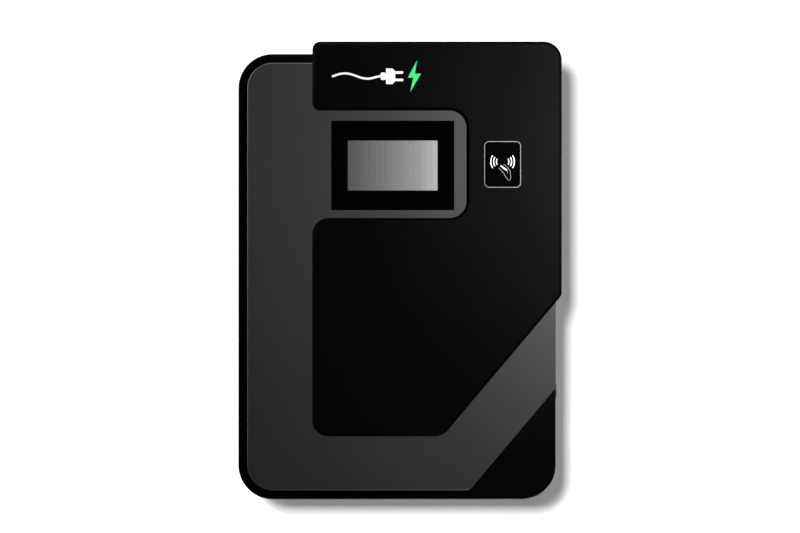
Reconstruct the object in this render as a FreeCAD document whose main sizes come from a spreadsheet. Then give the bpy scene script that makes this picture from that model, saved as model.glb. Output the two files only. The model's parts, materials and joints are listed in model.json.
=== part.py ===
"""Wall-hung electric-vehicle charging unit: a sheet-steel housing behind a hinged door.

The door carries a grey fascia, a raised black cover that wraps round the display bay, a seven-inch
touch display and a card reader.  The housing holds the power module, its fans, the switchgear and
the cable glands, and hangs on a wall bracket.

Frame: +Z up, the door faces -Y, X = 0 is the middle of the door, Z = 0 is the middle of its height
and Y = 0 is the wall.  A depth is a distance in front of the wall, so a point at depth d has Y = -d.
"""

import FreeCAD, Part
import math
import os
import re
import Sketcher

# ---------------------------------------------------------------- driving dimensions, millimetres
DIMENSIONS = {
    # door pan
    "door_width": 556, "door_height": 780, "door_corner": 60, "door_sheet": 2,
    "door_back": 172, "door_front": 232, "door_edge_round": 2.5, "rim": 16,
    # grey fascia, with its lower right corner cut off on a slope of cut_slope (rise over run)
    "fascia_thick": 5, "fascia_edge": 1.2, "cut_slope": 1.185, "fascia_cut_x": 127,
    "fascia_cut_corner": 16, "fit_gap": 0.3,
    # raised cover
    "cover_left": 148, "cover_drop": 279, "cover_rise": 21, "cover_reach": 10, "cover_thick": 14,
    "cover_bevel": 5, "cover_wall": 3, "cover_cut_x": 80, "arm_corner": 14, "block_corner": 28,
    "crown_corner": 32, "bay_top": 290.5, "bay_bottom": 102.5, "bay_right": 121.5, "bay_corner": 30,
    # display and card reader
    "display_x": -7.5, "display_z": 194.5, "glass_width": 215, "glass_height": 156,
    "glass_thick": 3, "glass_sink": 0.6, "support_lip": 8, "lcd_width": 165, "lcd_height": 100,
    "lcd_thick": 5.5, "reader_x": 184.5, "reader_z": 196, "reader_width": 65,
    "reader_height": 82, "reader_corner": 9, "reader_thick": 1.5, "reader_sink": 1.3, "board_thick": 1.6,
    # housing
    "housing_inset": 16, "housing_back": 16, "housing_front": 190, "housing_sheet": 2,
    "flange_width": 26, "opening_corner": 18, "housing_round": 2,
    # door seal and the rib that presses on it
    "seal_inset": 15, "seal_width": 10, "seal_thick": 6, "running_gap": 0.3,
    # wall bracket and hanger rail
    "bracket_width": 400, "bracket_height": 500, "bracket_sheet": 3, "bracket_bar": 44,
    "bolt_pitch_x": 356, "bolt_pitch_z": 456, "bolt_hole": 5.5, "hook_width": 300,
    "hook_stand": 12, "hook_rise": 18, "rail_sheet": 2.5, "rail_gap": 1, "tab_pitch": 300,
    "tab_width": 30, "lock_screw": 3,
    # gland tray and glands
    "tray_left": -130, "tray_right": 150, "tray_back": 50, "tray_front": 146, "tray_height": 42,
    "tray_flange": 12, "tray_corner": 10, "gland_depth": 98, "ac_x": -78, "ac_thread": 20,
    "ac_cable": 13, "dc_x": 8, "dc_thread": 25, "dc_cable": 16, "data_x": 76, "data_thread": 10,
    "data_cable": 4.5, "vent_x": 118, "vent_thread": 6, "thread_gap": 0.2,
    # louvres
    "louvre_back": 34, "louvre_front": 126, "louvre_margin": 10,
    "louvre_frame": 12, "louvre_thick": 3, "louvre_corner": 8, "blade_pitch": 17,
    "blade_thick": 2, "blade_fall": 11, "blade_out": 8, "blade_in": 1, "blade_first": 4,
    "filter_thick": 6,
    # power module and fans
    "plate_depth": 24, "plate_sheet": 2, "module_left": -216, "module_width": 430,
    "module_gap": 34, "module_height": 300, "fan_margin": 4, "slot_pitch": 20,
    "slot_height": 11, "fan_size": 80,
    "fan_thick": 32, "fan_pitch": 96, "fan_bore": 38, "fan_tip": 36.5, "fan_hub": 17,
    "fan_axle": 3, "fan_clear": 0.05, "fan_stand": 4, "strut": 5,
    # switchgear
    "rail_drop": 106, "rail_height": 35, "rail_thick": 7.5, "device_height": 90, "device_deep": 46,
    "nose_height": 45, "nose_deep": 22, "module_step": 18, "breaker_left": -230,
    "breaker_width": 92, "breaker_drop": 57, "breaker_height": 155, "breaker_deep": 68,
    "breaker_nose": 16, "breaker_nose_height": 96, "toggle_width": 18, "toggle_slot": 24,
    "toggle_barrel": 7, "toggle_reach": 27, "toggle_thick": 8, "toggle_tilt": 18,
    "small_slot": 18, "small_width": 12, "small_barrel": 5, "small_reach": 16, "small_thick": 5,
    "contactor_width": 66, "contactor_height": 84, "contactor_deep": 72, "cable_room": 68,
    "contactor_left": -100, "contactor_pitch": 84, "stud": 4, "terminal_pitch": 18,
    "terminal_height": 58, "terminal_deep": 46, "earth_left": 80,
    "earth_length": 130, "earth_lift": 30, "earth_height": 14, "earth_thick": 4,
    "duct_deep": 50, "duct_height": 28, "duct_wall": 2, "duct_slot": 6, "duct_pitch": 14,
    "tray_plate": 2, "board_width": 210, "board_height": 150, "board_left": -196,
    "board_lift": 70, "lead": 4,
    # emergency stop in the right-hand side wall
    "stop_lift": 169, "stop_depth": 100, "cup_radius": 31, "cup_wall": 2, "cup_deep": 24,
    "cup_flange": 5, "collar": 21, "barrel": 11, "plunger": 6, "head_radius": 20,
    "head_thick": 12, "stop_travel": 4, "plunger_bite": 7,
    # hinges and quarter-turn locks
    "hinge_end": 120, "hinge_inset": 8, "hinge_depth": 164, "knuckle": 5.5, "hinge_pin": 2.5,
    "pin_gap": 0.05, "leaf": 2.5, "knuckle_length": 30, "leaf_length": 34,
    "lock_end": 190, "lock_depth": 212, "lock_barrel": 9, "lock_flange": 12, "lock_plug": 5.5,
    "lock_length": 22, "cam_thick": 3, "cam_reach": 18, "cam_width": 14, "strike_sheet": 2.5,
    "strike_gap": 0.5, "lock_nut": 13, "nut_thick": 4,
    # fixings between pan and fascia
    "fixing": 2, "fixing_hole": 2.3, "fixing_head": 4, "fixing_bite": 4,
    # channels welded across the inside of the door
    "channel_drop": 162.5, "channel_lift": 150, "channel_deep": 12, "channel_half": 16,
}
FAN_COUNT = 3
SLOT_COUNT = 14
BLADE_COUNT = 15
ROTOR_BLADES = 7
TERMINAL_COUNT = 5
CONTACTOR_COUNT = 2

doc = FreeCAD.newDocument("charging_unit")
sheet = doc.addObject("Spreadsheet::Sheet", "dims")
for row, (alias, number) in enumerate(DIMENSIONS.items(), 1):
    sheet.set(f"A{row}", alias)
    sheet.set(f"B{row}", str(number))
    sheet.setAlias(f"B{row}", alias)
doc.recompute()

WORD = re.compile(r"[a-z][a-z_0-9]*")
NODES = []

# Outer faces that several sub-parts share.
SIDE = "(door_width / 2 - housing_inset)"
TOP = "(door_height / 2 - housing_inset)"
PLATE_FACE = "(plate_depth + plate_sheet)"
MODULE_THICK = "(fan_size + fan_margin)"
MODULE_MIDDLE = f"(plate_depth + plate_sheet + {MODULE_THICK} / 2)"
TRAY_TOP = f"(-{TOP} + housing_sheet + tray_height)"
MODULE_RIGHT = "(module_left + module_width)"
MODULE_LOW = f"({TOP} - module_gap - module_height)"
MODULE_HIGH = f"({TOP} - module_gap)"
LOUVRE_LOW, LOUVRE_HIGH = f"({MODULE_LOW} + louvre_margin)", f"({MODULE_HIGH} - louvre_margin)"
BREAKER_HIGH = f"({MODULE_LOW} - breaker_drop)"
BREAKER_LOW = f"({BREAKER_HIGH} - breaker_height)"
RAIL_Z = f"({MODULE_LOW} - rail_drop)"
SWITCH_LOW = f"({TRAY_TOP} + cable_room)"
EARTH_Z = f"({TRAY_TOP} + earth_lift)"
STOP_Z = f"(stop_lift - {TOP})"
HINGE_Z = "(door_height / 2 - hinge_end)"
LOCK_Z = "(door_height / 2 - lock_end)"
BOARD_LOW = f"({MODULE_LOW} + board_lift)"


# ---------------------------------------------------------------- helpers
def bound(text):
    """The expression with each dimension's name pointed at its cell in the sheet."""
    return WORD.sub(lambda m: f"dims.{m.group()}" if m.group() in DIMENSIONS else m.group(), str(text))


def size(text):
    """The value in millimetres of an expression in the sheet's names."""
    return float(sheet.evalExpression(bound(text)))


def bind(made, name, text):
    made.setExpression(name, bound(text))


def node(made, label):
    """Marks an object as a sub-part that is written out under this label."""
    made.Label = label
    NODES.append(made)
    return made


def about(middle, half):
    """The two ends of a span that reaches half each way from its middle."""
    return f"{middle} - ({half})", f"{middle} + ({half})"


def ahead_of(start, length):
    """The two ends of a span of this length."""
    return start, f"{start} + {length}"


TURN = {
    "right": FreeCAD.Rotation(FreeCAD.Vector(0, 1, 0), 90),
    "front": FreeCAD.Rotation(FreeCAD.Vector(1, 0, 0), 90),
    "up": FreeCAD.Rotation(),
}


def place(made, start, way="up"):
    """Puts an object's origin at (x, depth, z) with its own Z axis turned to way."""
    made.Placement = FreeCAD.Placement(FreeCAD.Vector(), TURN[way])
    x, depth, z = start
    bind(made, "Placement.Base.x", x)
    bind(made, "Placement.Base.y", f"-({depth})")
    bind(made, "Placement.Base.z", z)
    return made


def box(name, x, depth, z):
    """A block between two values of x, of depth and of z."""
    made = doc.addObject("Part::Box", name)
    place(made, (x[0], depth[1], z[0]))
    for side, (low, high) in zip(("Length", "Width", "Height"), (x, depth, z)):
        bind(made, side, f"({high}) - ({low})")
    return made


def rod(name, radius, way, start, length):
    """A round bar from (x, depth, z), pointing right, front or up."""
    made = place(doc.addObject("Part::Cylinder", name), start, way)
    bind(made, "Radius", radius)
    bind(made, "Height", length)
    return made


def hexagon(name, radius, way, start, length):
    """A six-sided bar with this radius over its corners."""
    made = place(doc.addObject("Part::Prism", name), start, way)
    made.Polygon = 6
    bind(made, "Circumradius", radius)
    bind(made, "Height", length)
    return made


def cone(name, radii, way, start, length):
    """A round bar that tapers from the first radius to the second."""
    made = place(doc.addObject("Part::Cone", name), start, way)
    bind(made, "Radius1", radii[0])
    bind(made, "Radius2", radii[1])
    bind(made, "Height", length)
    return made


def fuse(name, *parts):
    made = doc.addObject("Part::MultiFuse", name)
    made.Shapes = list(parts)
    return made


def cut(name, base, *tools):
    made = doc.addObject("Part::Cut", name)
    made.Base = base
    made.Tool = tools[0] if len(tools) == 1 else fuse(name + "_tools", *tools)
    return made


def common(name, base, region):
    made = doc.addObject("Part::Common", name)
    made.Base, made.Tool = base, region
    return made


def group(label, *parts):
    """Separate solids that share one node."""
    made = doc.addObject("Part::Compound", label)
    made.Links = list(parts)
    return node(made, label)


def rectangle(x, y, corner=None):
    """The four corners of a rectangle, anticlockwise, for a sketch outline."""
    return [(x[0], y[0], corner), (x[1], y[0], corner), (x[1], y[1], corner), (x[0], y[1], corner)]


def add_outline(sketch, corners):
    """A closed outline of straight sides through the given sharp corners (x, y, rounding or None).

    Every sharp corner is held by two dimensions from the origin, so the sketch has no freedom left.
    """
    points = [FreeCAD.Vector(size(x), size(y), 0) for x, y, _ in corners]
    count = len(points)
    starts, ends = [], []
    for i, (_, _, rounding) in enumerate(corners):
        here = points[i]
        back = (points[i - 1] - here).normalize()
        ahead = (points[(i + 1) % count] - here).normalize()
        half = math.acos(max(-1, min(1, back.dot(ahead)))) / 2
        reach = size(rounding) / math.tan(half) if rounding else 0
        ends.append(here + back * reach)
        starts.append(here + ahead * reach)
    lines = [
        sketch.addGeometry(Part.LineSegment(starts[i], ends[(i + 1) % count]), False)
        for i in range(count)
    ]
    for i, (x, y, rounding) in enumerate(corners):
        before, after = lines[i - 1], lines[i]
        if rounding:
            held = sketch.addGeometry(Part.Point(points[i]), True)
            back = points[i - 1] - points[i]
            ahead = points[(i + 1) % count] - points[i]
            convex = ahead.cross(back).z > 0
            middle = (back.normalize() + ahead.normalize()).normalize()
            half = math.acos(max(-1, min(1, back.dot(ahead)))) / 2
            centre = points[i] + middle * (size(rounding) / math.sin(half))
            first, last = (ends[i], starts[i]) if convex else (starts[i], ends[i])
            angles = [math.atan2(p.y - centre.y, p.x - centre.x) for p in (first, last)]
            circle = Part.Circle(centre, FreeCAD.Vector(0, 0, 1), size(rounding))
            arc = sketch.addGeometry(Part.ArcOfCircle(circle, *angles), False)
            first_end, last_end = (1, 2) if convex else (2, 1)
            sketch.addConstraint(Sketcher.Constraint("Tangent", before, 2, arc, first_end))
            sketch.addConstraint(Sketcher.Constraint("Tangent", arc, last_end, after, 1))
            sketch.addConstraint(Sketcher.Constraint("PointOnObject", held, 1, before))
            sketch.addConstraint(Sketcher.Constraint("PointOnObject", held, 1, after))
            radius = sketch.addConstraint(Sketcher.Constraint("Radius", arc, size(rounding)))
            bind(sketch, f"Constraints[{radius}]", rounding)
            corner = (held, 1)
        else:
            sketch.addConstraint(Sketcher.Constraint("Coincident", before, 2, after, 1))
            corner = (after, 1)
        for kind, text in (("DistanceX", x), ("DistanceY", y)):
            held_at = sketch.addConstraint(Sketcher.Constraint(kind, -1, 1, *corner, size(text)))
            bind(sketch, f"Constraints[{held_at}]", text)


def add_circle(sketch, x, y, radius):
    middle = FreeCAD.Vector(size(x), size(y), 0)
    made = sketch.addGeometry(Part.Circle(middle, FreeCAD.Vector(0, 0, 1), size(radius)), False)
    for kind, text in (("DistanceX", x), ("DistanceY", y)):
        held_at = sketch.addConstraint(Sketcher.Constraint(kind, -1, 1, made, 3, size(text)))
        bind(sketch, f"Constraints[{held_at}]", text)
    held_at = sketch.addConstraint(Sketcher.Constraint("Radius", made, size(radius)))
    bind(sketch, f"Constraints[{held_at}]", radius)


class Piece:
    """A PartDesign body.  Sketches on its XZ plane are drawn in (x, z) and face the front."""

    def __init__(self, label):
        self.body = doc.addObject("PartDesign::Body", label)
        self.steps = 0

    def add(self, kind):
        self.steps += 1
        return self.body.newObject(kind, f"{self.body.Name}_{kind.split('::')[1]}_{self.steps}")

    def origin(self, role):
        return next(f for f in self.body.Origin.OriginFeatures if f.Role == role)

    def sketch(self, plane, offset, outlines=(), circles=()):
        made = self.add("Sketcher::SketchObject")
        made.AttachmentSupport = (self.origin(plane), [""])
        made.MapMode = "FlatFace"
        bind(made, "AttachmentOffset.Base.z", offset)
        for corners in outlines:
            add_outline(made, corners)
        for circle in circles:
            add_circle(made, *circle)
        return made

    def pad(self, sketch, length, backwards=False):
        made = self.add("PartDesign::Pad")
        made.Profile = sketch
        made.Reversed = backwards
        bind(made, "Length", length)
        doc.recompute()
        return made

    def pocket(self, sketch, depth, along_normal=False, both_ways=False):
        """Cuts against the sketch's normal, or along it, and checks that it took material away."""
        before = self.body.Shape.Volume
        made = self.add("PartDesign::Pocket")
        made.Profile = sketch
        if both_ways:
            made.Type = "ThroughAll"
            made.Midplane = True
        else:
            made.Reversed = along_normal
            bind(made, "Length", depth)
        doc.recompute()
        if not self.body.Shape.Volume < before - 0.01:
            raise ValueError(f"{made.Name} cut nothing")
        return made

    def dress(self, kind, amount, depth, inner=False):
        """A Fillet or Chamfer round the outline of the flat face that lies at this depth."""
        base = self.body.Tip
        shape = base.Shape
        level = -size(depth)
        flat = [
            face for face in shape.Faces
            if abs(face.BoundBox.YMin - level) < 1e-4 and abs(face.BoundBox.YMax - level) < 1e-4
        ]
        face = max(flat, key=lambda f: f.Area)
        wanted = face.Edges if inner else face.OuterWire.Edges
        names = [
            f"Edge{n}" for n, edge in enumerate(shape.Edges, 1)
            if any(edge.isSame(other) for other in wanted)
        ]
        made = self.add(f"PartDesign::{kind}")
        made.Base = (base, names)
        bind(made, "Radius" if kind == "Fillet" else "Size", amount)
        doc.recompute()
        return made

    def repeat(self, feature, axis, length, count):
        made = self.add("PartDesign::LinearPattern")
        made.Originals = [feature]
        made.Direction = (self.origin(axis), [""])
        bind(made, "Length", length)
        made.Occurrences = count
        self.body.Tip = made
        doc.recompute()
        return made

    def node(self):
        return node(self.body, self.body.Name)


# ---------------------------------------------------------------- housing
def make_rear_housing():
    """Steel box welded from a back, four walls, four rounded corners and a front flange for the seal."""
    piece = Piece("housing_shell")
    corner = "door_corner - housing_inset"
    outer = rectangle((f"-{SIDE}", SIDE), (f"-{TOP}", TOP), corner)
    piece.pad(piece.sketch("XZ_Plane", "housing_back", [outer]), "housing_front - housing_back")
    piece.dress("Fillet", "housing_round", "housing_back")
    inset_x, inset_z = f"{SIDE} - flange_width", f"{TOP} - flange_width"
    opening = rectangle((f"-({inset_x})", inset_x), (f"-({inset_z})", inset_z), "opening_corner")
    sketch = piece.sketch("XZ_Plane", "housing_front", [opening])
    piece.pocket(sketch, "housing_sheet")
    inner_x, inner_z = f"{SIDE} - housing_sheet", f"{TOP} - housing_sheet"
    inner = rectangle((f"-({inner_x})", inner_x), (f"-({inner_z})", inner_z), f"{corner} - housing_sheet")
    sketch = piece.sketch("XZ_Plane", "housing_front - housing_sheet", [inner])
    piece.pocket(sketch, "housing_front - housing_back - 2 * housing_sheet")
    window = rectangle(
        ("-louvre_front + louvre_frame - 2", "-louvre_back - louvre_frame + 2"),
        (f"{LOUVRE_LOW} + louvre_frame - 2", f"{LOUVRE_HIGH} - louvre_frame + 2"),
        "louvre_corner / 2",
    )
    piece.pocket(piece.sketch("YZ_Plane", "0", [window]), None, both_ways=True)
    stop = [("-stop_depth", STOP_Z, "cup_radius + fit_gap")]
    piece.pocket(piece.sketch("YZ_Plane", SIDE, circles=stop), "2 * housing_sheet")
    tray = rectangle(
        ("tray_left + housing_sheet", "tray_right - housing_sheet"),
        ("-tray_front + housing_sheet", "-tray_back - housing_sheet"),
        "tray_corner",
    )
    piece.pocket(piece.sketch("XY_Plane", f"-{TOP}", [tray]), "2 * housing_sheet", along_normal=True)
    holes = [
        (f"{side} * tab_pitch / 2", "-bracket_height / 2 + tab_width", "lock_screw + fit_gap")
        for side in (-1, 1)
    ]
    sketch = piece.sketch("XZ_Plane", "housing_back + 2 * housing_sheet", circles=holes)
    piece.pocket(sketch, "3 * housing_sheet")
    return group("rear_housing", *housing_sheets(piece.body, corner))


def housing_sheets(shell, corner):
    """The shell cut along its welds: back, front flange, then the corners and walls between them."""
    across, up = (f"-{SIDE} - 1", f"{SIDE} + 1"), (f"-{TOP} - 1", f"{TOP} + 1")
    flat_x, flat_z = f"({SIDE} - ({corner}))", f"({TOP} - ({corner}))"
    back, flange = "housing_back + housing_sheet", "housing_front - housing_sheet"
    between = (back, flange)
    regions = [
        ("back", across, ("housing_back - 1", back), up),
        ("flange", across, (flange, "housing_front + 1"), up),
    ]
    spans_x = ((across[0], f"-{flat_x}"), (f"-{flat_x}", flat_x), (flat_x, across[1]))
    spans_z = ((up[0], f"-{flat_z}"), (f"-{flat_z}", flat_z), (flat_z, up[1]))
    for column, x in enumerate(spans_x):
        for row, z in enumerate(spans_z):
            if (column, row) != (1, 1):
                regions.append(("wall", x, between, z))
    return [common(f"{name}_sheet", shell, box(f"{name}_region", x, depth, z))
            for name, x, depth, z in regions]


def make_wall_bracket():
    """Pressed frame bolted to the wall: an upturned hook along its top, two threaded tabs below."""
    piece = Piece("wall_bracket")
    half_x, half_z = "bracket_width / 2", "bracket_height / 2"
    outer = rectangle((f"-{half_x}", half_x), (f"-{half_z}", half_z), "arm_corner")
    window = rectangle(
        (f"-{half_x} + bracket_bar", f"{half_x} - bracket_bar"),
        (f"-{half_z} + 1.5 * bracket_bar", f"{half_z} - bracket_bar"),
        "arm_corner",
    )
    bolts = [
        (f"{sx} * bolt_pitch_x / 2", f"{sz} * bolt_pitch_z / 2", "bolt_hole")
        for sx in (-1, 1) for sz in (-1, 1)
    ]
    piece.pad(piece.sketch("XZ_Plane", "0", [outer, window], bolts), "bracket_sheet")
    across = ("-hook_width / 2", "hook_width / 2")
    shelf = rectangle(across, ("-hook_stand", "-bracket_sheet"))
    piece.pad(piece.sketch("XY_Plane", f"{half_z} - bracket_sheet", [shelf]), "bracket_sheet")
    lip = rectangle(across, ("-hook_stand", "-hook_stand + bracket_sheet"))
    piece.pad(piece.sketch("XY_Plane", half_z, [lip]), "hook_rise")
    for side in (-1, 1):
        middle = f"{side} * tab_pitch / 2"
        across = (f"{middle} - tab_width / 2", f"{middle} + tab_width / 2")
        foot = rectangle(across, ("-housing_back", "-bracket_sheet"))
        piece.pad(piece.sketch("XY_Plane", f"-{half_z}", [foot]), "bracket_sheet")
        face = rectangle(across, (f"-{half_z}", f"-{half_z} + 1.5 * tab_width"))
        hole = [(middle, f"-{half_z} + tab_width", "lock_screw")]
        piece.pad(piece.sketch("XZ_Plane", "housing_back - bracket_sheet", [face], hole), "bracket_sheet")
    return piece.node()


def make_hanger_rail():
    """Z-section on the housing's back.  Its down-turned leg drops behind the bracket's hook."""
    across = ("-hook_width / 2 + 4", "hook_width / 2 - 4")
    rest = "bracket_height / 2 + hook_rise"
    shelf = box("rail_shelf", across, ("bracket_sheet + rail_gap", "housing_back"),
                (rest, f"{rest} + rail_sheet"))
    down = box("rail_leg", across,
               ("bracket_sheet + rail_gap", "bracket_sheet + rail_gap + rail_sheet"),
               ("bracket_height / 2 + 2 * rail_gap", f"{rest} + rail_sheet"))
    up = box("rail_flange", across, ("housing_back - rail_sheet", "housing_back"),
             (rest, f"{rest} + 12 * rail_sheet"))
    return node(fuse("hanger_rail_shape", shelf, down, up), "hanger_rail")


def make_bracket_screws():
    """Two screws through the housing's back into the bracket's tabs."""
    screws = []
    for side in (-1, 1):
        x, z = f"{side} * tab_pitch / 2", "-bracket_height / 2 + tab_width"
        inside = "housing_back + housing_sheet"
        shank = rod("shank", "lock_screw", "front", (x, "housing_back - 2 * bracket_sheet", z),
                    "2 * bracket_sheet + housing_sheet")
        head = rod("head", "1.7 * lock_screw", "front", (x, inside, z), "lock_screw")
        socket = (x, f"{inside} + 0.4 * lock_screw", z)
        key = hexagon("key", "0.9 * lock_screw", "front", socket, "lock_screw")
        screws.append(cut("bracket_screw", fuse("screw_blank", shank, head), key))
    return group("bracket_screws", *screws)


def make_door_seal():
    """Foam rubber ring stuck to the housing's front flange."""
    piece = Piece("door_seal")
    outlines = []
    for inset in ("seal_inset", "seal_inset + seal_width"):
        x, z = f"({SIDE} - ({inset}))", f"({TOP} - ({inset}))"
        corner = f"door_corner - housing_inset - ({inset})"
        outlines.append(rectangle((f"-{x}", x), (f"-{z}", z), corner))
    piece.pad(piece.sketch("XZ_Plane", "housing_front", outlines), "seal_thick")
    return piece.node()


def make_louvre(label, side):
    """Pressed frame over a side window with blades that fall outwards to shed rain."""
    piece = Piece(label)
    frame = rectangle(("-louvre_front", "-louvre_back"), (LOUVRE_LOW, LOUVRE_HIGH), "louvre_corner")
    window = rectangle(
        ("-louvre_front + louvre_frame", "-louvre_back - louvre_frame"),
        (f"{LOUVRE_LOW} + louvre_frame", f"{LOUVRE_HIGH} - louvre_frame"),
        "louvre_corner / 2",
    )
    sketch = piece.sketch("YZ_Plane", f"{side} * {SIDE}", [frame, window])
    piece.pad(sketch, "louvre_thick", backwards=side < 0)
    inner, outer = f"{side} * ({SIDE} - blade_in)", f"{side} * ({SIDE} + blade_out)"
    low = f"{LOUVRE_LOW} + louvre_frame + blade_first"
    section = [
        (inner, f"{low} + blade_fall", None), (outer, low, None),
        (outer, f"{low} + blade_thick", None), (inner, f"{low} + blade_fall + blade_thick", None),
    ]
    if side < 0:
        section.reverse()
    sketch = piece.sketch("XZ_Plane", "louvre_back + louvre_frame - 1", [section])
    blade = piece.pad(sketch, "louvre_front - louvre_back - 2 * louvre_frame + 2")
    piece.repeat(blade, "Z_Axis", f"blade_pitch * {BLADE_COUNT - 1}", BLADE_COUNT)
    return piece.node()


def make_intake_filter():
    """Foam mat that covers the intake window from inside."""
    inside = f"-({SIDE} - housing_sheet)"
    return node(box("filter_mat", (inside, f"{inside} + filter_thick"), ("louvre_back", "louvre_front"),
                    (f"{LOUVRE_LOW} + 2", f"{LOUVRE_HIGH} - 2")), "intake_filter")


# ---------------------------------------------------------------- gland tray and glands
GLANDS = ("ac", "dc", "data")


def make_gland_tray():
    """Upturned tray let into the housing's floor, so that the glands stay above its lower edge."""
    piece = Piece("gland_tray")
    floor = f"-({TOP} - housing_sheet)"
    x, y = ("tray_left", "tray_right"), ("-tray_front", "-tray_back")
    flange = rectangle(("tray_left - tray_flange", "tray_right + tray_flange"),
                       ("-tray_front - tray_flange", "-tray_back + tray_flange"), "tray_corner")
    piece.pad(piece.sketch("XY_Plane", floor, [flange]), "housing_sheet")
    piece.pad(piece.sketch("XY_Plane", floor, [rectangle(x, y, "tray_corner")]), "tray_height")
    inner = rectangle(
        ("tray_left + housing_sheet", "tray_right - housing_sheet"),
        ("-tray_front + housing_sheet", "-tray_back - housing_sheet"), "tray_corner - housing_sheet",
    )
    sketch = piece.sketch("XY_Plane", floor, [inner])
    piece.pocket(sketch, "tray_height - housing_sheet", along_normal=True)
    holes = [(f"{g}_x", "-gland_depth", f"{g}_thread + thread_gap") for g in (*GLANDS, "vent")]
    piece.pocket(piece.sketch("XY_Plane", TRAY_TOP, circles=holes), "2 * housing_sheet")
    return piece.node()


def make_glands():
    """Each gland is a hexagon body, a lock nut above the tray, a dome nut below and a rubber seal."""
    bodies, domes, nuts, seals = [], [], [], []
    under = f"{TRAY_TOP} - housing_sheet"
    for g in GLANDS:
        thread, cable = f"{g}_thread", f"{g}_cable"
        flange, drop = f"(4 + {thread} / 8)", f"(10 + {thread} / 2)"
        at = lambda z: (f"{g}_x", "gland_depth", z)
        low = f"{under} - {flange}"
        blank = fuse(g + "_blank",
                     hexagon(g + "_hexagon", f"1.25 * {thread}", "up", at(low), flange),
                     rod(g + "_stub", thread, "up", at(under), "housing_sheet + 10"))
        bodies.append(cut(g + "_body", blank, rod(g + "_way", f"{cable} + 1", "up", at(low), "40")))
        bottom = f"{low} - {drop}"
        dome = fuse(g + "_dome",
                    hexagon(g + "_grip", f"1.18 * {thread}", "up", at(f"{bottom} + 0.35 * {drop}"),
                            f"0.65 * {drop}"),
                    cone(g + "_nose", (f"{cable} + 3.2", thread), "up", at(bottom), f"0.4 * {drop}"))
        bore = rod(g + "_mouth", f"{cable} + 1", "up", at(f"{bottom} - 1"), f"{drop} + 2")
        seat = rod(g + "_seat", f"{cable} + 2.2", "up", at(f"{bottom} + 0.3 * {drop}"), drop)
        domes.append(cut(g + "_dome_nut", dome, bore, seat))
        nut = hexagon(g + "_nut_blank", f"1.25 * {thread}", "up", at(TRAY_TOP), "5")
        bore = rod(g + "_nut_bore", thread, "up", at(f"{TRAY_TOP} - 1"), "7")
        nuts.append(cut(g + "_lock_nut", nut, bore))
        ring = rod(g + "_ring", f"{cable} + 2.2", "up", at(f"{bottom} + 0.3 * {drop}"), f"0.7 * {drop}")
        seals.append(cut(g + "_seal", ring, rod(g + "_hole", cable, "up", at(bottom), f"{drop} + 1")))
    group("cable_glands", *bodies)
    group("gland_dome_nuts", *domes)
    group("gland_lock_nuts", *nuts)
    group("gland_seals", *seals)
    at = lambda z: ("vent_x", "gland_depth", z)
    cap = rod("vent_cap", "1.6 * vent_thread", "up", at(f"{under} - 5"), "5")
    stub = rod("vent_stub", "vent_thread", "up", at(under), "housing_sheet + 6")
    return node(fuse("vent_shape", cap, stub), "vent_plug")


# ---------------------------------------------------------------- chassis, power module and fans
def make_chassis():
    """Galvanised plate on welded spacers, which carries all the switchgear."""
    side = f"{SIDE} - flange_width - 1"
    low, high = f"{TRAY_TOP} + 10", f"{TOP} - flange_width - 4"
    piece = Piece("chassis_sheet")
    plate = rectangle((f"-({side})", side), (low, high), "reader_corner")
    piece.pad(piece.sketch("XZ_Plane", "plate_depth", [plate]), "plate_sheet")
    start = "housing_back + housing_sheet"
    spacers, studs = [], []
    for sx in (-1, 1):
        for z in (f"{low} + 14", f"{MODULE_LOW} - 20", f"{high} - 9"):
            at = (f"{sx} * ({side} - 12)", start, z)
            foot = rod("spacer_foot", "2 * stud", "front", at, f"plate_depth - ({start})")
            bolt = rod("spacer_bolt", "stud", "front", at, f"{PLATE_FACE} + 7 - ({start})")
            spacers.append(fuse("spacer", foot, bolt))
            studs.append(rod("spacer_hole", "stud", "front", at, f"{PLATE_FACE} + 1 - ({start})"))
    group("chassis_plate", cut("chassis_shape", piece.body, *studs), *spacers)


def module_ends():
    return "module_left", MODULE_RIGHT


def fan_heights():
    middle = f"{MODULE_LOW} + module_height / 2"
    return [f"{middle} + {n - (FAN_COUNT - 1) / 2} * fan_pitch" for n in range(FAN_COUNT)]


def make_power_module():
    """Rectifier module on its back: slotted at the intake end, open to the fans at the other."""
    left, right = module_ends()
    depth = (PLATE_FACE, f"{PLATE_FACE} + {MODULE_THICK}")
    z = (MODULE_LOW, MODULE_HIGH)
    case = box("module_case", (left, right), depth, z)
    tools = [
        rod("fan_mouth", "fan_bore - 1", "right", (f"{right} - 8", MODULE_MIDDLE, height), "10")
        for height in fan_heights()
    ]
    for n in range(SLOT_COUNT):
        low = f"{MODULE_LOW} + 12 + {n} * slot_pitch"
        tools.append(box("module_slot", (f"{left} - 1", f"{left} + 7"),
                         about(MODULE_MIDDLE, f"{MODULE_THICK} / 2 - 10"), ahead_of(low, "slot_height")))
    foot = (f"{MODULE_LOW} - 14", MODULE_LOW)
    reach = (f"{PLATE_FACE} + 20", f"{PLATE_FACE} + 60")
    lug = box("module_terminals", ahead_of(f"{left} + 14", "90"), reach, foot)
    out = box("module_output", ahead_of(f"{right} - 74", "60"), reach, foot)
    return node(fuse("module_shape", cut("module_cut", case, *tools), lug, out), "power_module")


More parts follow.
